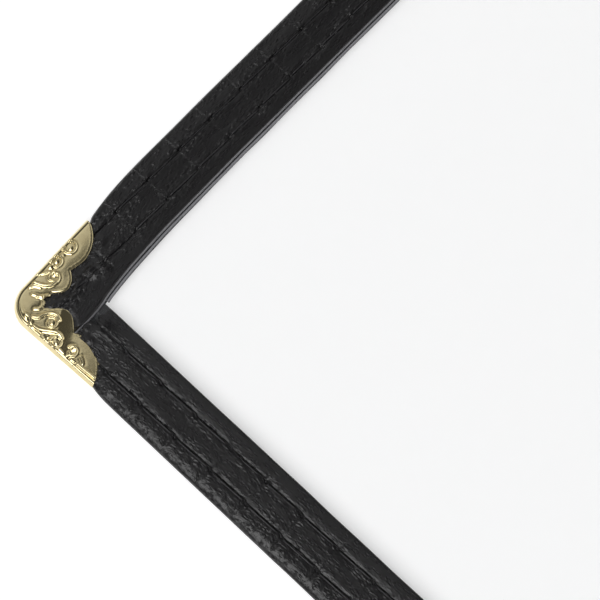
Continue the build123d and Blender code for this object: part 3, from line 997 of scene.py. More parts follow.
# A ridge is a half width, a height as a share and the points that it runs through
RIDGES = (
    (0.17, 0.7, ((5.1, 3.0), (5.8, 3.75), (6.55, 4.4))),
    (0.30, 1.0, ((6.7, 0.9), (7.1, 1.9), (7.75, 2.9), (8.5, 3.5), (9.3, 3.65))),
    (0.15, 0.45, ((5.5, 0.9), (6.2, 1.4), (6.7, 2.3))),
    (0.15, 0.5, ((8.2, 0.3), (9.0, 1.0), (9.9, 1.6))),
    (0.15, 0.5, ((4.9, 2.2), (5.3, 3.1), (5.45, 3.9), (5.0, 4.65), (4.4, 4.95))),
    (0.15, 0.4, ((3.2, 4.3), (3.7, 4.8), (4.4, 5.0))),
    (0.20, 0.4, ((13.4, 1.1), (13.8, 1.3))),
    (0.33, 0.8, ((1.5, 3.7), (1.45, 4.5), (1.0, 5.3), (0.5, 5.8))),
    (
        0.25,
        0.8,
        ((1.9, 5.0), (2.6, 5.85), (3.5, 6.15), (4.3, 6.65), (4.85, 7.4), (4.95, 8.2), (4.6, 9.0)),
    ),
    (
        0.32,
        1.0,
        ((0.75, 6.2), (0.9, 7.1), (1.35, 8.0), (1.95, 8.9), (2.5, 9.8), (2.75, 10.8), (2.5, 11.5)),
    ),
    (0.25, 0.7, ((0.6, 8.6), (0.5, 9.3))),
    (0.24, 0.7, ((0.7, 12.5), (0.65, 13.4), (0.65, 14.2), (1.2, 14.5))),
    (0.22, 0.6, ((0.7, 15.2), (0.75, 15.9))),
    (0.15, 0.5, ((2.2, 16.2), (1.9, 16.8), (1.5, 17.3))),
    (0.26, 0.8, ((0.85, 16.6), (0.9, 18.0), (0.95, 19.4), (1.0, 20.5))),
    (0.15, 0.4, ((14.9, 2.1), (14.5, 1.6))),
)
# A curl is a ridge that runs in a spiral: a half width and a height, then its centre, its first
# and last radius, and the angle where it starts and how far it turns, in degrees
CURLS = (
    (0.15, 0.9, (9.6, 2.7), 1.15, 0.60, 95, -320),
    (0.15, 0.9, (12.2, 1.05), 1.10, 0.85, 150, -330),
    (0.15, 0.9, (15.7, 1.05), 1.25, 1.05, 200, -340),
    (0.15, 0.8, (3.35, 8.25), 1.15, 0.60, -60, 320),
    (0.15, 0.9, (1.25, 11.15), 1.10, 0.85, -120, 330),
    (0.15, 0.8, (1.9, 14.4), 1.05, 0.60, -70, 290),
)
# A knob is a place and a radius
KNOBS = (
    (10.7, 1.05, 0.35),
    (10.3, 2.55, 0.38),
    (12.1, 1.2, 0.28),
    (15.5, 1.5, 0.34),
    (3.3, 8.4, 0.42),
    (1.25, 11.5, 0.42),
    (2.6, 14.3, 0.40),
)
KNOB_HEIGHT = 0.9

# Gentle relief of a face, each a height, a place and a width: by the distance to the wall and
# by the distance to the scalloped edge, which turns down over its last stretch
WALL_RELIEF = ((0.05, 2.6, 2.0), (-0.14, 0.60, 0.19))
EDGE_RELIEF = ((0.015, 0.36, 0.12), (-0.03, 0, 1.1))
EDGE_TURN = 0.3
EDGE_FALL = 0.17
DOME = (3.2, 3.2)
DOME_HEIGHT = 0.07
# Hollows beside the scrolls: a distance and a width, and how far they dip. The metal also gets painted
# shade there
HOLLOW = (0.42, 0.16)
HOLLOW_DEPTH = 0.04
# The line, as a slope and a place, from which a face steps down, and the length of the step
STEP_SLOPE = 0.62
STEP_START = 9.9
STEP_LENGTH = 3.4


def curve_through(points, step):
    """A smooth line through points, about a step between neighbours."""
    points = np.array(points, float)
    length = np.concatenate([[0], np.cumsum(np.hypot(*np.diff(points, axis=0).T))])
    at = np.linspace(0, length[-1], max(3, int(length[-1] / step) + 1))
    return np.stack([through(list(zip(length, points[:, n])), at) for n in (0, 1)], axis=1)


def corner_outline(step):
    """The scalloped inner edge of a plate, from the upper leg's end to the lower one's."""
    line = [curve_through(lobe, step)[:-1] for lobe in OUTLINE]
    return np.vstack(line + [np.array([OUTLINE[-1][-1]])])


def outer_line(inset, step):
    """The outer edge from the lower leg's end round the tip to the upper one's, set in."""
    reach = TIP_ROUND - inset
    down = np.arange(LOWER_END, TIP_ROUND, -step)
    turn = np.radians(np.arange(0, 90.01, 90 / max(6, int(reach * pi / 2 / step))))
    right = np.arange(TIP_ROUND + step, UPPER_END, step)
    line = [(inset, y) for y in down]
    line += [(TIP_ROUND - reach * cos(angle), TIP_ROUND - reach * sin(angle)) for angle in turn]
    line += [(x, inset) for x in right] + [(UPPER_END, inset)]
    return np.array(line)


def distance_to(points, line):
    """Distance of each point to an open line."""
    best = np.full(len(points), np.inf)
    for start, end in zip(line[:-1], line[1:]):
        run = end - start
        share = np.clip(((points - start) @ run) / max(run @ run, 1e-12), 0, 1)
        away = points - start - share[:, None] * run
        best = np.minimum(best, np.hypot(away[:, 0], away[:, 1]))
    return best


def inside(points, loop):
    """True for each point within a closed outline."""
    x, y = points[:, 0], points[:, 1]
    hit = np.zeros(len(points), bool)
    for (x0, y0), (x1, y1) in zip(loop, np.roll(loop, -1, axis=0)):
        if y0 != y1:
            crosses = (y0 > y) != (y1 > y)
            hit ^= crosses & (x < x0 + (y - y0) * (x1 - x0) / (y1 - y0))
    return hit


def curl(centre, first_radius, last_radius, start, sweep):
    """A spiral from its outer end, in degrees, y down."""
    share = np.linspace(0, 1, 22)
    turn = np.radians(start + sweep * share)
    radius = first_radius + (last_radius - first_radius) * share
    return np.stack([centre[0] + radius * np.cos(turn), centre[1] + radius * np.sin(turn)], axis=1)


RIDGE_STEP = 0.12
RIDGE_MARGIN = 1.5
FAR = 9.0


def ridge_relief(points):
    """Height of the raised lines at points, as a share, and the distance to the nearest."""
    ridges = [(width, tall, curve_through(line, RIDGE_STEP)) for width, tall, line in RIDGES]
    ridges += [(width, tall, curl(*spiral)) for width, tall, *spiral in CURLS]
    relief = np.zeros(len(points))
    near = np.full(len(points), FAR)
    for width, tall, line in ridges:
        low, high = line.min(0) - RIDGE_MARGIN, line.max(0) + RIDGE_MARGIN
        chosen = np.all((points > low) & (points < high), axis=1)
        away = distance_to(points[chosen], line)
        relief[chosen] = np.maximum(relief[chosen], tall * bell(away, 0, width))
        near[chosen] = np.minimum(near[chosen], away)
    return relief, near


def from_wall(x, y):
    """Distance of places on a plate to its outer wall, on the inside of the round tip too."""
    return TIP_ROUND - np.hypot(np.minimum(x - TIP_ROUND, 0), np.minimum(y - TIP_ROUND, 0))


def finely(points):
    """Distance to the nearest place that wants the finer lattice: a raised line or the bend."""
    return np.minimum(ridge_relief(points)[1], from_wall(points[:, 0], points[:, 1]) - BEND_REACH)


def plate_height(points):
    """Height of a corner's face above mid-plane, and how much painted shade the hollows beside its
    scrolls get, 0 to 1.
    """
    x, y = points[:, 0], points[:, 1]
    relief, near = ridge_relief(points)
    for across, down, radius in KNOBS:
        away = np.hypot(x - across, y - down)
        relief = np.maximum(relief, KNOB_HEIGHT * bell(away, 0, radius))
    hollow = bell(near, *HOLLOW)
    edge = distance_to(points, corner_outline(0.3))
    height = PLATE + sizes().relief * relief - plate_step(x, y) - HOLLOW_DEPTH * hollow
    height = height + DOME_HEIGHT * np.exp(-(((x - DOME[0]) ** 2 + (y - DOME[1]) ** 2) / 6.0))
    for distance, bells in ((from_wall(x, y), WALL_RELIEF), (edge, EDGE_RELIEF)):
        for tall, place, width in bells:
            height = height + tall * bell(distance, place, width)
    height = height - EDGE_FALL * np.clip(1 - edge / EDGE_TURN, 0, 1) ** 1.2
    # The hollows come back as the mask for painted shade, kept off the scalloped edge
    return height, hollow * smooth_step(edge, 0.2, 0.5)


def plate_step(x, y):
    """How far a plate steps down where it leaves the lap for the side strip below."""
    share = np.clip((y + STEP_SLOPE * (x - DOME[0]) - STEP_START) / STEP_LENGTH, 0, 1)
    return STEP_DOWN * (1 - (1 - share) ** 2) * smooth_step(y, 6, 9)


CAP_SLOPE = 1.1


def plate_cap(along, inset, side):
    """The most height that leather has under and beside a corner."""
    along = np.broadcast_to(along, inset.shape)
    x, y = (inset, along) if side else (along, inset)
    turn = np.array([[cos(CORNER_SKEW), -sin(CORNER_SKEW)], [sin(CORNER_SKEW), cos(CORNER_SKEW)]])
    local = (np.stack([x.ravel(), y.ravel()], axis=1) - [0, CORNER_DROP]) @ turn
    cap = np.full(len(local), FAR)
    chosen = np.all(local < CORNER_SPAN + 3, axis=1)
    here = local[chosen]
    edge = corner_outline(0.6)
    loop = np.vstack([edge, [(-1, LOWER_END), (-1, -1), (UPPER_END, -1)]])
    away = distance_to(here, edge)
    away = np.where(inside(here, loop), -away, away)
    floor = PLATE - sizes().sheet_metal - METAL_CLEARANCE - plate_step(here[:, 0], here[:, 1])
    cap[chosen] = floor + CAP_SLOPE * np.clip(away - 0.02, 0, FAR)
    return cap.reshape(inset.shape)


def lattice(step):
    """Points over a corner's whole square, in rows a step apart."""
    rows = np.arange(BEND, CORNER_SPAN, step * sqrt(3) / 2)
    across = np.arange(BEND, CORNER_SPAN, step)
    shifts = [number % 2 * step / 2 for number in range(len(rows))]
    return np.array([(x + shift, y) for shift, y in zip(shifts, rows) for x in across])


def corner_skin():
    """Points, faces and painted shade in the hollows of a corner's outer skin: face, bend, wall, bend
    and face.
    """
    step = sizes().grid
    seam = outer_line(BEND, step * 0.7)
    edge = corner_outline(step * 0.6)
    edge = edge[np.all(edge > BEND - 1e-6, axis=1)]
    loop = np.vstack([seam[:-1], edge[:-1]])
    if np.hypot(*(seam[0] - edge[-1])) > 0.02:
        loop = np.vstack([seam, edge[1:]])
    plan, triangles = face_plan(loop, seam, edge)
    height, hollow = plate_height(plan)
    rings = wall_rings(seam)
    joints = nearest_index(plan, seam)
    count = len(plan)
    points = np.vstack([np.column_stack([plan, height]), np.column_stack([plan, -height])] + rings)
    hollows = np.concatenate([hollow, hollow, np.zeros(len(seam) * len(rings))])
    faces = triangles.tolist() + (triangles[:, ::-1] + count).tolist()
    lines = [2 * count + n * len(seam) + np.arange(len(seam)) for n in range(len(rings))]
    lines = [joints] + lines + [joints + count]
    for one, two in zip(lines[:-1], lines[1:]):
        quads = np.stack([one[:-1], one[1:], two[1:], two[:-1]], axis=-1)
        faces += quads.tolist()
    return points, faces, hollows


def face_plan(loop, seam, edge):
    """A face's points and triangles seen from above, finer where its relief is steep."""
    step = sizes().grid
    plain, fine = lattice(step), lattice(step / 2)
    plain = plain[finely(plain) > RIDGE_REACH]
    fine = fine[finely(fine) < RIDGE_REACH - 0.4 * step]
    cells = np.vstack([plain, fine])
    cells = cells[inside(cells, loop)]
    cells = cells[distance_to(cells, edge) > RIM_ROWS[-1] + 0.3 * step]
    cells = cells[distance_to(cells, seam) > 0.3 * step]
    rim_rows = rim_points(edge, loop)
    rim_rows = rim_rows[distance_to(rim_rows, seam) > 0.05]
    flat = np.vstack([loop, rim_rows, cells])
    rim = list(range(len(loop)))
    made = delaunay_2d_cdt([Vector(point) for point in flat], [], [rim], 1, 1e-6, True)
    plan = np.array([tuple(point) for point in made[0]])
    triangles = np.array([list(face) for face in made[2]])
    return plan, triangles[inside(plan[triangles].mean(axis=1), loop)]


def wall_rings(seam):
    """Rings of points from the bend line of the front face over the wall to the back face."""
    height, _ = plate_height(seam)
    away = outer_direction(seam)
    rings = [
        np.column_stack([seam + away * BEND * np.sin(turn), height - BEND * (1 - np.cos(turn))])
        for turn in BEND_TURNS
    ]
    for share in WALL_SHARES:
        bulge = away * (BEND + BULGE * (1 - share**2.2))
        rings.append(np.column_stack([seam + bulge, (height - BEND) * share]))
    return rings + [ring * [1, 1, -1] for ring in rings[-2::-1]]


def rim_points(edge, loop):
    """Rows of points just within the scalloped edge, to carry its bead."""
    along = np.gradient(edge, axis=0)
    across = np.column_stack([-along[:, 1], along[:, 0]])
    across = across / np.hypot(*across.T)[:, None]
    rows = []
    for place in RIM_ROWS:
        for side in (1, -1):
            row = edge + side * place * across
            row = row[inside(row, loop)]
            rows.append(row[distance_to(row, edge) > 0.85 * place])
    return np.vstack(rows)


def outer_direction(seam):
    """Unit directions from the bend line out to the wall."""
    away = np.minimum(seam - TIP_ROUND, 0.0)
    away[seam[:, 0] > TIP_ROUND] = (0.0, -1.0)
    away[seam[:, 1] > TIP_ROUND] = (-1.0, 0.0)
    return away / np.maximum(np.hypot(*away.T), 1e-9)[:, None]


def nearest_index(plan, line):
    """Index of the plan point that lies at each point of a line."""
    return np.array([int(np.argmin(np.hypot(*(plan - point).T))) for point in line])


# Places in the cover


def on_panel(points, panel, kind):
    """Points drawn from the upper left corner, +X along and y down, put in place."""
    x, y, z = np.asarray(points, float).T
    if "side" in kind:
        x, y = -y, -x
    if "bottom" in kind:
        y = -2 * HALF_HEIGHT - y
    if "back" in kind:
        z = -z
    x = x - HALF_WIDTH
    if panel == "right":
        x = -x
    return np.column_stack([x, y + HALF_HEIGHT, z + MIDDLE])


def strip_piece(panel, kind, shape):
    """A strip of trim as a piece, in its place on a panel."""
    points, faces, uv, attributes = shape
    placed = on_panel(points, panel, kind)
    piece = mesh_piece(f"{panel}_{kind}_trim", placed, faces, "leatherette", uv, attributes)
    face_outward(piece)
    return piece


def settle(piece, body, slot, *nodes):
    """Rides a finished piece on its body and lets it stand for its nodes."""
    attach(piece, body)
    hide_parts(*nodes)


class COVER_OT_bindings(bpy.types.Operator):
    """Build the folded bindings of the side and lower edges"""

    bl_idname = "cover.bindings"
    bl_label = "Bindings"

    def execute(self, context):
        for number, panel in enumerate(PANELS):
            for kind, edge in (("side", "side"), ("top", "bottom")):
                seed = sizes().seed + 100 * number + 10 * len(edge)
                node = f"{panel}_{edge}_binding"
                piece = strip_piece(panel, edge, binding(kind, seed))
                settle(piece, f"{panel}_panel", "leatherette", node)
        return {"FINISHED"}


class COVER_OT_tapes(bpy.types.Operator):
    """Build the tapes of the open edges, front and back"""

    bl_idname = "cover.tapes"
    bl_label = "Open edge tapes"

    def execute(self, context):
        for number, panel in enumerate(PANELS):
            for face, lean in (("front", 1), ("back", -1)):
                seed = sizes().seed + 500 + 100 * number + 10 * len(face)
                piece = strip_piece(panel, f"top_{face}", open_tape(seed, lean))
                settle(piece, f"{panel}_panel", "leatherette", f"{panel}_top_{face}_tape")
        return {"FINISHED"}


class COVER_OT_spine(bpy.types.Operator):
    """Build the two strips over the fold"""

    bl_idname = "cover.spine"
    bl_label = "Spine"

    def execute(self, context):
        for side, name in ((1, "inner"), (-1, "outer")):
            points, faces, uv, attributes = spine_cover(sizes().seed + 800 + side, side)
            x, y, z = points.T
            placed = np.column_stack([-y, HALF_HEIGHT - x, side * z + MIDDLE])
            piece = mesh_piece(
                f"spine_{name}_trim", placed, faces, "leatherette", uv, attributes
            )
            face_outward(piece)
            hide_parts(f"spine_{name}_strip")
            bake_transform(piece)
        return {"FINISHED"}


class COVER_OT_film(bpy.types.Operator):
    """Build the clear sheets of both pockets"""

    bl_idname = "cover.film"
    bl_label = "Clear sheets"

    def execute(self, context):
        for panel in PANELS:
            for face in ("front", "back"):
                node = f"{panel}_{face}_vinyl"
                low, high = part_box(node)
                piece = film_sheet(f"{panel}_{face}_film", low / MM, high / MM)
                settle(piece, f"{panel}_panel", "clear_vinyl", node)
        return {"FINISHED"}


# Film: its mesh, how far it keeps from the trim's edges, what is cut off at the metal, its slack
FILM_GRID = (60, 76)
FILM_GAP = 0.4
FILM_DRAWN = 11
FILM_CLIP = 9.0
FILM_SLACK = 0.10
SLACK_SPACING = 60


def film_sheet(name, low, high):
    """A sheet of film with a barely visible slack between its edges."""
    across, down = (np.linspace(0, 1, count) for count in FILM_GRID)
    a, b = np.meshgrid(across, down, indexing="ij")
    x = low.x + (high.x - low.x) * a
    y = low.y + (high.y - low.y) * b
    outer = low.x if abs(low.x) > abs(high.x) else high.x
    side_gap = np.abs(x - outer)
    end_gap = np.minimum(y - low.y, high.y - y)
    drawn = (through(TOP_OUTER, side_gap) + FILM_GAP) * np.clip(1 - end_gap / FILM_DRAWN, 0, 1)
    y = y + np.where(b < 0.5, drawn, -drawn)
    drawn = through(SIDE_OUTER, end_gap) * np.clip(1 - side_gap / FILM_DRAWN, 0, 1)
    x = x + np.sign(-outer) * drawn
    free = np.clip(8 * np.minimum(np.minimum(a, 1 - a), np.minimum(b, 1 - b)), 0, 1)
    seed = int(abs(low.z) * 10) + 3
    slack = FILM_SLACK * free * soft_noise(x / SLACK_SPACING, y / SLACK_SPACING, seed)
    level = (low.z + high.z) / 2 + slack
    half = sizes().film / 2
    points = np.vstack(
        [np.column_stack([x.ravel(), y.ravel(), (level + side).ravel()]) for side in (half, -half)]
    )
    index = np.arange(x.size).reshape(x.shape)
    corner = (side_gap < FILM_CLIP) & (end_gap < FILM_CLIP + CORNER_DROP)
    keep = ~(corner[:-1, :-1] | corner[1:, :-1] | corner[:-1, 1:] | corner[1:, 1:])
    quads = [index[:-1, :-1], index[1:, :-1], index[1:, 1:], index[:-1, 1:]]
    quads = np.stack(quads, axis=-1)[keep]
    faces = quads.tolist() + (quads[:, ::-1] + x.size).tolist()
    sides = {}
    for quad in quads.tolist():
        sides.update(dict.fromkeys(zip(quad, quad[1:] + quad[:1])))
    for one, two in sides:
        if (two, one) not in sides:
            faces.append([two, one, one + x.size, two + x.size])
    used, renumbered = np.unique(np.array([n for face in faces for n in face]), return_inverse=True)
    order = iter(renumbered.tolist())
    faces = [[next(order) for _ in face] for face in faces]
    piece = mesh_piece(name, points[used], faces, "clear_vinyl")
    face_outward(piece)
    return piece


class COVER_OT_corners(bpy.types.Operator):
    """Build the four pressed metal corners"""

    bl_idname = "cover.corners"
    bl_label = "Metal corners"

    def execute(self, context):
        points, faces, hollows = corner_skin()
        turn = Matrix.Rotation(CORNER_SKEW, 2)
        flat = np.column_stack([points[:, 0], -points[:, 1]]) @ np.array(turn).T
        flat[:, 1] -= CORNER_DROP
        seated = np.column_stack([flat, points[:, 2]])
        for panel in PANELS:
            for edge in ("top", "bottom"):
                # The hollow attribute carries the painted shade beside the scrolls
                piece = mesh_piece(
                    f"{panel}_{edge}_metal_corner",
                    on_panel(seated, panel, edge),
                    faces,
                    "brass_plate",
                    attributes={"hollow": hollows},
                )
                thicken(piece, sizes().sheet_metal * MM)
                settle(piece, f"{panel}_panel", "brass_plate", f"{panel}_{edge}_corner")
        return {"FINISHED"}


def thicken(piece, wall):
    """Gives a skin its wall, inward."""
    face_outward(piece)
    modifier = piece.modifiers.new("wall", "SOLIDIFY")
    modifier.thickness = wall
    modifier.offset = -1
    graph = bpy.context.evaluated_depsgraph_get()
    made = bpy.data.meshes.new_from_object(piece.evaluated_get(graph))
    piece.modifiers.clear()
    old = piece.data
    piece.data = made
    bpy.data.meshes.remove(old)
    piece.data.shade_smooth()


# Stitches

STITCH_POINTS = 10
THREAD_SIDES = 7
STITCH_SINK = 0.45
THREAD_SEAT = 0.06
UNDER_METAL = 21.8


def stitch_tree():
    """Geometry nodes that lay one stitch between each two needle holes of a row."""
    tree = bpy.data.node_groups.new("Stitch rows", "GeometryNodeTree")
    sockets = (
        ("Rows", "NodeSocketGeometry"),
        ("Stitches", "NodeSocketInt"),
        ("Stitch length", "NodeSocketFloat"),
        ("Thread", "NodeSocketFloat"),
        ("Slant", "NodeSocketFloat"),
        ("Sink", "NodeSocketFloat"),
        ("Finish", "NodeSocketMaterial"),
    )
    for name, kind in sockets:
        tree.interface.new_socket(name=name, in_out="INPUT", socket_type=kind)
    tree.interface.new_socket(name="Stitches", in_out="OUTPUT", socket_type="NodeSocketGeometry")
    given = add_node(tree, "NodeGroupInput").outputs
    stitch = stitch_nodes(tree, given)
    count = add_node(tree, "ShaderNodeMath", {"operation": "ADD", 1: 1.0}, {0: given["Stitches"]})
    holes = add_node(
        tree,
        "GeometryNodeResampleCurve",
        {"mode": "COUNT"},
        {"Curve": given["Rows"], "Count": count},
    )
    ends = {"Start Size": 0, "End Size": 1}
    last = add_node(tree, "GeometryNodeCurveEndpointSelection", ends)
    kept = add_node(tree, "FunctionNodeBooleanMath", {"operation": "NOT"}, {0: last})
    tangent = add_node(tree, "GeometryNodeInputTangent")
    aligned = add_node(
        tree,
        "FunctionNodeAlignRotationToVector",
        {"axis": "X", "pivot_axis": "Z"},
        {"Vector": tangent},
    )
    tilt = add_node(tree, "GeometryNodeInputCurveTilt")
    rolled = add_node(tree, "ShaderNodeCombineXYZ", {}, {"X": tilt})
    turned = add_node(
        tree,
        "FunctionNodeRotateRotation",
        {"rotation_space": "LOCAL"},
        {"Rotation": aligned, "Rotate By": rolled},
    )
    laid = add_node(
        tree,
        "GeometryNodeInstanceOnPoints",
        {},
        {"Points": holes, "Selection": kept, "Instance": stitch, "Rotation": turned},
    )
    real = add_node(tree, "GeometryNodeRealizeInstances", {}, {"Geometry": laid})
    smooth = add_node(tree, "GeometryNodeSetShadeSmooth", {}, {"Geometry": real})
    dyed = add_node(
        tree, "GeometryNodeSetMaterial", {}, {"Geometry": smooth, "Material": given["Finish"]}
    )
    add_node(tree, "NodeGroupOutput", {}, {0: dyed})
    return tree


def stitch_nodes(tree, given):
    """One stitch from a hole to the next: a thread that slants across its row and dives into
    the holes at both ends, which steepness decides."""
    back = add_node(tree, "ShaderNodeMath", {"operation": "MULTIPLY", 1: -1.0}, {0: given["Slant"]})
    begin = add_node(tree, "ShaderNodeCombineXYZ", {}, {"Y": given["Slant"]})
    reach = add_node(tree, "ShaderNodeCombineXYZ", {}, {"X": given["Stitch length"], "Y": back})
    line = add_node(
        tree, "GeometryNodeCurvePrimitiveLine", {"mode": "POINTS"}, {"Start": begin, "End": reach}
    )
    fine = add_node(tree, "GeometryNodeResampleCurve", {"Count": STITCH_POINTS}, {"Curve": line})
    share = add_node(tree, "GeometryNodeSplineParameter")
    turn = add_node(tree, "ShaderNodeMath", {"operation": "MULTIPLY", 1: pi}, {0: share})
    arch = add_node(tree, "ShaderNodeMath", {"operation": "SINE"}, {0: turn})
    opposite = {"operation": "SUBTRACT", 0: 1.0, "use_clamp": True}
    less = add_node(tree, "ShaderNodeMath", opposite, {1: arch})
    steep = add_node(tree, "ShaderNodeMath", {"operation": "POWER", 1: 5.0}, {0: less})
    sunk = add_node(tree, "ShaderNodeMath", {"operation": "MULTIPLY"}, {0: steep, 1: given["Sink"]})
    down = add_node(tree, "ShaderNodeMath", {"operation": "MULTIPLY", 1: -1.0}, {0: sunk})
    shift = add_node(tree, "ShaderNodeCombineXYZ", {}, {"Z": down})
    bowed = add_node(tree, "GeometryNodeSetPosition", {}, {"Geometry": fine, "Offset": shift})
    half = add_node(tree, "ShaderNodeMath", {"operation": "MULTIPLY", 1: 0.5}, {0: given["Thread"]})
    ring = add_node(
        tree, "GeometryNodeCurvePrimitiveCircle", {"Resolution": THREAD_SIDES}, {"Radius": half}
    )
    return add_node(
        tree,
        "GeometryNodeCurveToMesh",
        {"Fill Caps": True},
        {"Curve": bowed, "Profile Curve": ring},
    )


def sewn(name, rows, count, tree):
    """Stitches along rows of points, as a plain mesh. Rows below mid-plane face down."""
    size = sizes()
    curve = bpy.data.curves.new(name, "CURVE")
    curve.dimensions = "3D"
    for row in rows:
        spline = curve.splines.new("POLY")
        spline.points.add(len(row) - 1)
        flat = np.column_stack([np.asarray(row) * MM, np.ones(len(row))])
        spline.points.foreach_set("co", flat.astype(np.float32).ravel())
        spline.points.foreach_set("tilt", [pi if row[0][2] < MIDDLE else 0.0] * len(row))
    holder = bpy.data.objects.new(name + "_rows", curve)
    bpy.context.scene.collection.objects.link(holder)
    modifier = holder.modifiers.new("stitches", "NODES")
    modifier.node_group = tree
    run = np.asarray(rows[0])[1] - np.asarray(rows[0])[0]
    length = np.hypot(*run[:2])
    wanted = {
        "Stitches": int(count),
        "Stitch length": float(length * MM),
        "Thread": size.thread * MM,
        "Slant": turning(rows) * SLANT * MM,
        "Sink": STITCH_SINK * MM,
        "Finish": finish_of("thread"),
    }
    for socket in tree.interface.items_tree:
        if socket.in_out == "INPUT" and socket.name in wanted:
            modifier[socket.identifier] = wanted[socket.name]
    holder.update_tag()
    graph = bpy.context.evaluated_depsgraph_get()
    graph.update()
    mesh = bpy.data.meshes.new_from_object(holder.evaluated_get(graph))
    bpy.data.objects.remove(holder)
    mesh.name = name
    piece = bpy.data.objects.new(name, mesh)
    bpy.context.scene.collection.objects.link(piece)
    return piece


def turning(rows):
    """1 where the second row lies to the right of the first one's run, seen from above."""
    first, second = np.asarray(rows[0]), np.asarray(rows[1])
    run, beside = first[1] - first[0], second[0] - first[0]
    return -float(np.sign(run[0] * beside[1] - run[1] * beside[0]))


def thread_height():
    """Height of a thread's middle above mid-plane, in its drawn-down seam."""
    size = sizes()
    return size.flange_low + size.leather - 0.2 * size.groove - THREAD_SEAT


def seam_row(kind, row):
    """A row's needle holes as points above the drawn-down leather, from the corner. Those
    under the metal corners are left out."""
    shown = strip_holes(kind)
    shown = shown[shown > UNDER_METAL]
    if kind == "side":
        shown = shown[shown < 2 * HALF_HEIGHT - UNDER_METAL]
    count = len(shown)
    return np.column_stack([shown, np.full(count, -row), np.full(count, thread_height())])


class COVER_OT_stitches(bpy.types.Operator):
    """Sew every seam with single stitches"""

    bl_idname = "cover.stitches"
    bl_label = "Stitches"

    def execute(self, context):
        tree = stitch_tree()
        seams = (
            ("top_front_seam", "top", ("top",)),
            ("top_back_seam", "top", ("top_back",)),
            ("side_seam", "side", ("side", "side_back")),
            ("bottom_seam", "top", ("bottom", "bottom_back")),
        )
        for panel in PANELS:
            for node, kind, faces in seams:
                rows = SIDE_ROWS if kind == "side" else TOP_ROWS
                lines = [
                    on_panel(seam_row(kind, row), panel, face) for face in faces for row in rows
                ]
                piece = sewn(f"{panel}_{node}_stitches", lines, len(lines[0]) - 1, tree)
                settle(piece, f"{panel}_panel", "thread", f"{panel}_{node}")
            self.spine(panel, tree)
        return {"FINISHED"}

    def spine(self, panel, tree):
        """Both rows of one side of the spine, on both faces."""
        side = -1 if panel == "left" else 1
        holes = spine_holes()
        lines = []
        for row in SPINE_ROWS:
            across = np.full(len(holes), side * row)
            level = np.full(len(holes), MIDDLE + thread_height())
            lines.append(np.column_stack([across, HALF_HEIGHT - holes, level]))
        lines += [line * [1, 1, -1] + [0, 0, 2 * MIDDLE] for line in lines]
        piece = sewn(f"spine_{panel}_seam_stitches", lines, len(holes) - 1, tree)
        settle(piece, f"{panel}_panel", "thread", f"spine_{panel}_seam")


# Stage

# The table's half length and the camera's range are in metres
TABLE_REACH = 4.0
CAMERA_RANGE = (0.01, 20)
TABLE_CORNERS = ((-1, -1), (1, -1), (1, 1), (-1, 1))
WHITE = (1, 1, 1, 1)
ROOM_LIGHT = 0.06
# The room's walls: where they end upwards, where they begin beside the cover, and how bright
# they are along their run, each by a part of the direction
WALL_TOP = {"From Min": 0.62, "From Max": 0.25}
WALL_SIDE = {"From Min": -0.75, "From Max": -0.1}
WALL_SHINE = {"From Min": -0.6, "From Max": 0.6, "To Min": 1.2, "To Max": 0.22}

# The view was fitted to the trim's edges: target and distance in millimetres, angles in
# degrees, focus in pixels of the photograph
CAMERA_TARGET = (36.94 - HALF_WIDTH, HALF_HEIGHT - 39.0, 1.8)
CAMERA_ANGLES = (-45.0, 74.624, -1.636)
CAMERA_FOCUS = 2261
CAMERA_DISTANCE = 400.8
SENSOR = 36
PHOTO_WIDTH = 600

# Each lamp is a name, a direction, a distance and a size in metres, and a brightness
LAMPS = (
    ("key_softbox", (-0.53, -0.05, 0.85), 1.8, 1.4, 3.7),
    ("ceiling_softbox", (0.11, 0.70, 0.71), 2.6, 3.0, 0.50),
)


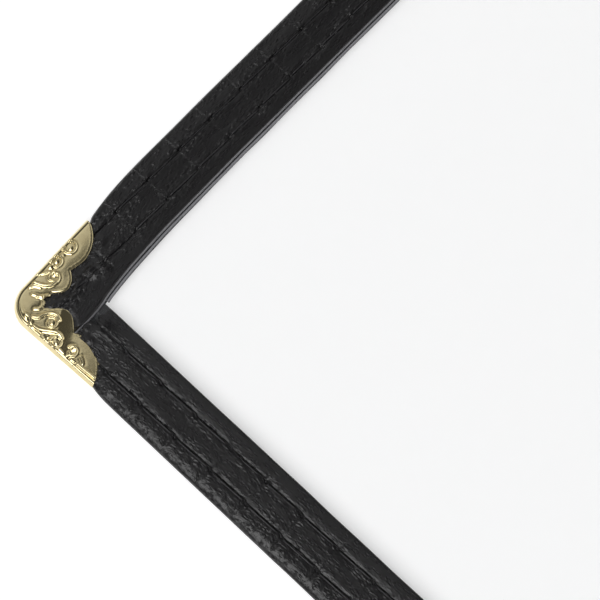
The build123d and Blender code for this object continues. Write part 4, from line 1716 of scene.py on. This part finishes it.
class COVER_OT_stage(bpy.types.Operator):
    """Set up the table, the soft light and the camera"""

    bl_idname = "cover.stage"
    bl_label = "Stage"

    def execute(self, context):
        scene = bpy.context.scene
        mesh = bpy.data.meshes.new("table")
        corners = [(TABLE_REACH * x, TABLE_REACH * y, 0) for x, y in TABLE_CORNERS]
        mesh.from_pydata(corners, [], [(0, 1, 2, 3)])
        mesh.materials.append(table_material())
        table = bpy.data.objects.new("table", mesh)
        scene.collection.objects.link(table)
        self.world(scene)
        self.lamps(scene)
        self.camera(scene)
        scene.view_settings.view_transform = "Standard"
        return {"FINISHED"}

    def world(self, scene):
        """A dim room with pale walls low down on three sides, white behind for the camera."""
        world = bpy.data.worlds.new("studio")
        scene.world = world
        world.use_nodes = True
        tree = world.node_tree
        tree.nodes.clear()
        way = add_node(tree, "ShaderNodeTexCoord").outputs["Generated"]
        part = add_node(tree, "ShaderNodeSeparateXYZ", {}, {"Vector": way}).outputs
        low = add_node(tree, "ShaderNodeMapRange", WALL_TOP, {"Value": part["Z"]})
        beside = add_node(tree, "ShaderNodeMapRange", WALL_SIDE, {"Value": part["X"]})
        near = add_node(tree, "ShaderNodeMapRange", WALL_SHINE, {"Value": part["Y"]})
        wall = add_node(tree, "ShaderNodeMath", {"operation": "MULTIPLY"}, {0: low, 1: beside})
        adding = {"operation": "MULTIPLY_ADD", 2: ROOM_LIGHT}
        strength = add_node(tree, "ShaderNodeMath", adding, {0: wall, 1: near})
        room = add_node(tree, "ShaderNodeBackground", {"Color": WHITE}, {"Strength": strength})
        white = add_node(tree, "ShaderNodeBackground", {"Color": WHITE, "Strength": 1.0})
        seen = add_node(tree, "ShaderNodeLightPath").outputs["Is Camera Ray"]
        both = add_node(tree, "ShaderNodeMixShader", {}, {0: seen, 1: room, 2: white})
        add_node(tree, "ShaderNodeOutputWorld", {}, {"Surface": both})

    def lamps(self, scene):
        """Softboxes that face the camera's target."""
        target = Vector(CAMERA_TARGET) * MM
        for name, towards, distance, width, shine in LAMPS:
            light = bpy.data.lights.new(name, "AREA")
            light.shape = "SQUARE"
            light.size = width
            light.energy = shine * pi * width * width
            lamp = bpy.data.objects.new(name, light)
            way = Vector(towards).normalized()
            lamp.location = target + way * distance
            lamp.rotation_mode = "QUATERNION"
            lamp.rotation_quaternion = way.to_track_quat("Z", "Y")
            scene.collection.objects.link(lamp)

    def camera(self, scene):
        """The photograph's view of the upper left corner."""
        azimuth, lift, roll = (radians(angle) for angle in CAMERA_ANGLES)
        back = Vector((sin(azimuth) * cos(lift), -cos(azimuth) * cos(lift), sin(lift)))
        right = Vector((cos(azimuth), sin(azimuth), 0))
        up = back.cross(right)
        right, up = cos(roll) * right + sin(roll) * up, cos(roll) * up - sin(roll) * right
        data = bpy.data.cameras.new("camera")
        data.sensor_width = SENSOR
        data.lens = SENSOR * CAMERA_FOCUS / PHOTO_WIDTH
        data.clip_start, data.clip_end = CAMERA_RANGE
        camera = bpy.data.objects.new("camera", data)
        place = Vector(CAMERA_TARGET) * MM + back * CAMERA_DISTANCE * MM
        turn = Matrix((right, up, back)).transposed().to_4x4()
        camera.matrix_world = Matrix.Translation(place) @ turn
        scene.collection.objects.link(camera)
        scene.camera = camera


class COVER_PT_panel(bpy.types.Panel):
    """Lists the parts of the menu cover"""

    bl_label = "Menu Cover"
    bl_idname = "COVER_PT_panel"
    bl_space_type = "VIEW_3D"
    bl_region_type = "UI"
    bl_category = "Menu Cover"

    def draw(self, context):
        layout = self.layout
        for group in (context.scene.cover_sizes, context.scene.cover_colours):
            for name in group.__annotations__:
                layout.prop(group, name)
        for operator in OPERATORS:
            layout.operator(operator.bl_idname)


OPERATORS = (
    COVER_OT_bindings,
    COVER_OT_tapes,
    COVER_OT_spine,
    COVER_OT_film,
    COVER_OT_corners,
    COVER_OT_stitches,
    COVER_OT_stage,
)
CLASSES = (CoverSizes, CoverColours, *OPERATORS, COVER_PT_panel)


def register():
    """Makes the settings, operators and panel known."""
    for one in CLASSES:
        bpy.utils.register_class(one)
    bpy.types.Scene.cover_sizes = PointerProperty(type=CoverSizes)
    bpy.types.Scene.cover_colours = PointerProperty(type=CoverColours)


def unregister():
    """Takes them back out."""
    del bpy.types.Scene.cover_sizes
    del bpy.types.Scene.cover_colours
    for one in reversed(CLASSES):
        bpy.utils.unregister_class(one)


def main():
    """Builds the whole cover."""
    register()
    for operator in OPERATORS:
        group, name = operator.bl_idname.split(".")
        getattr(getattr(bpy.ops, group), name)()


if __name__ == "__main__":
    main()
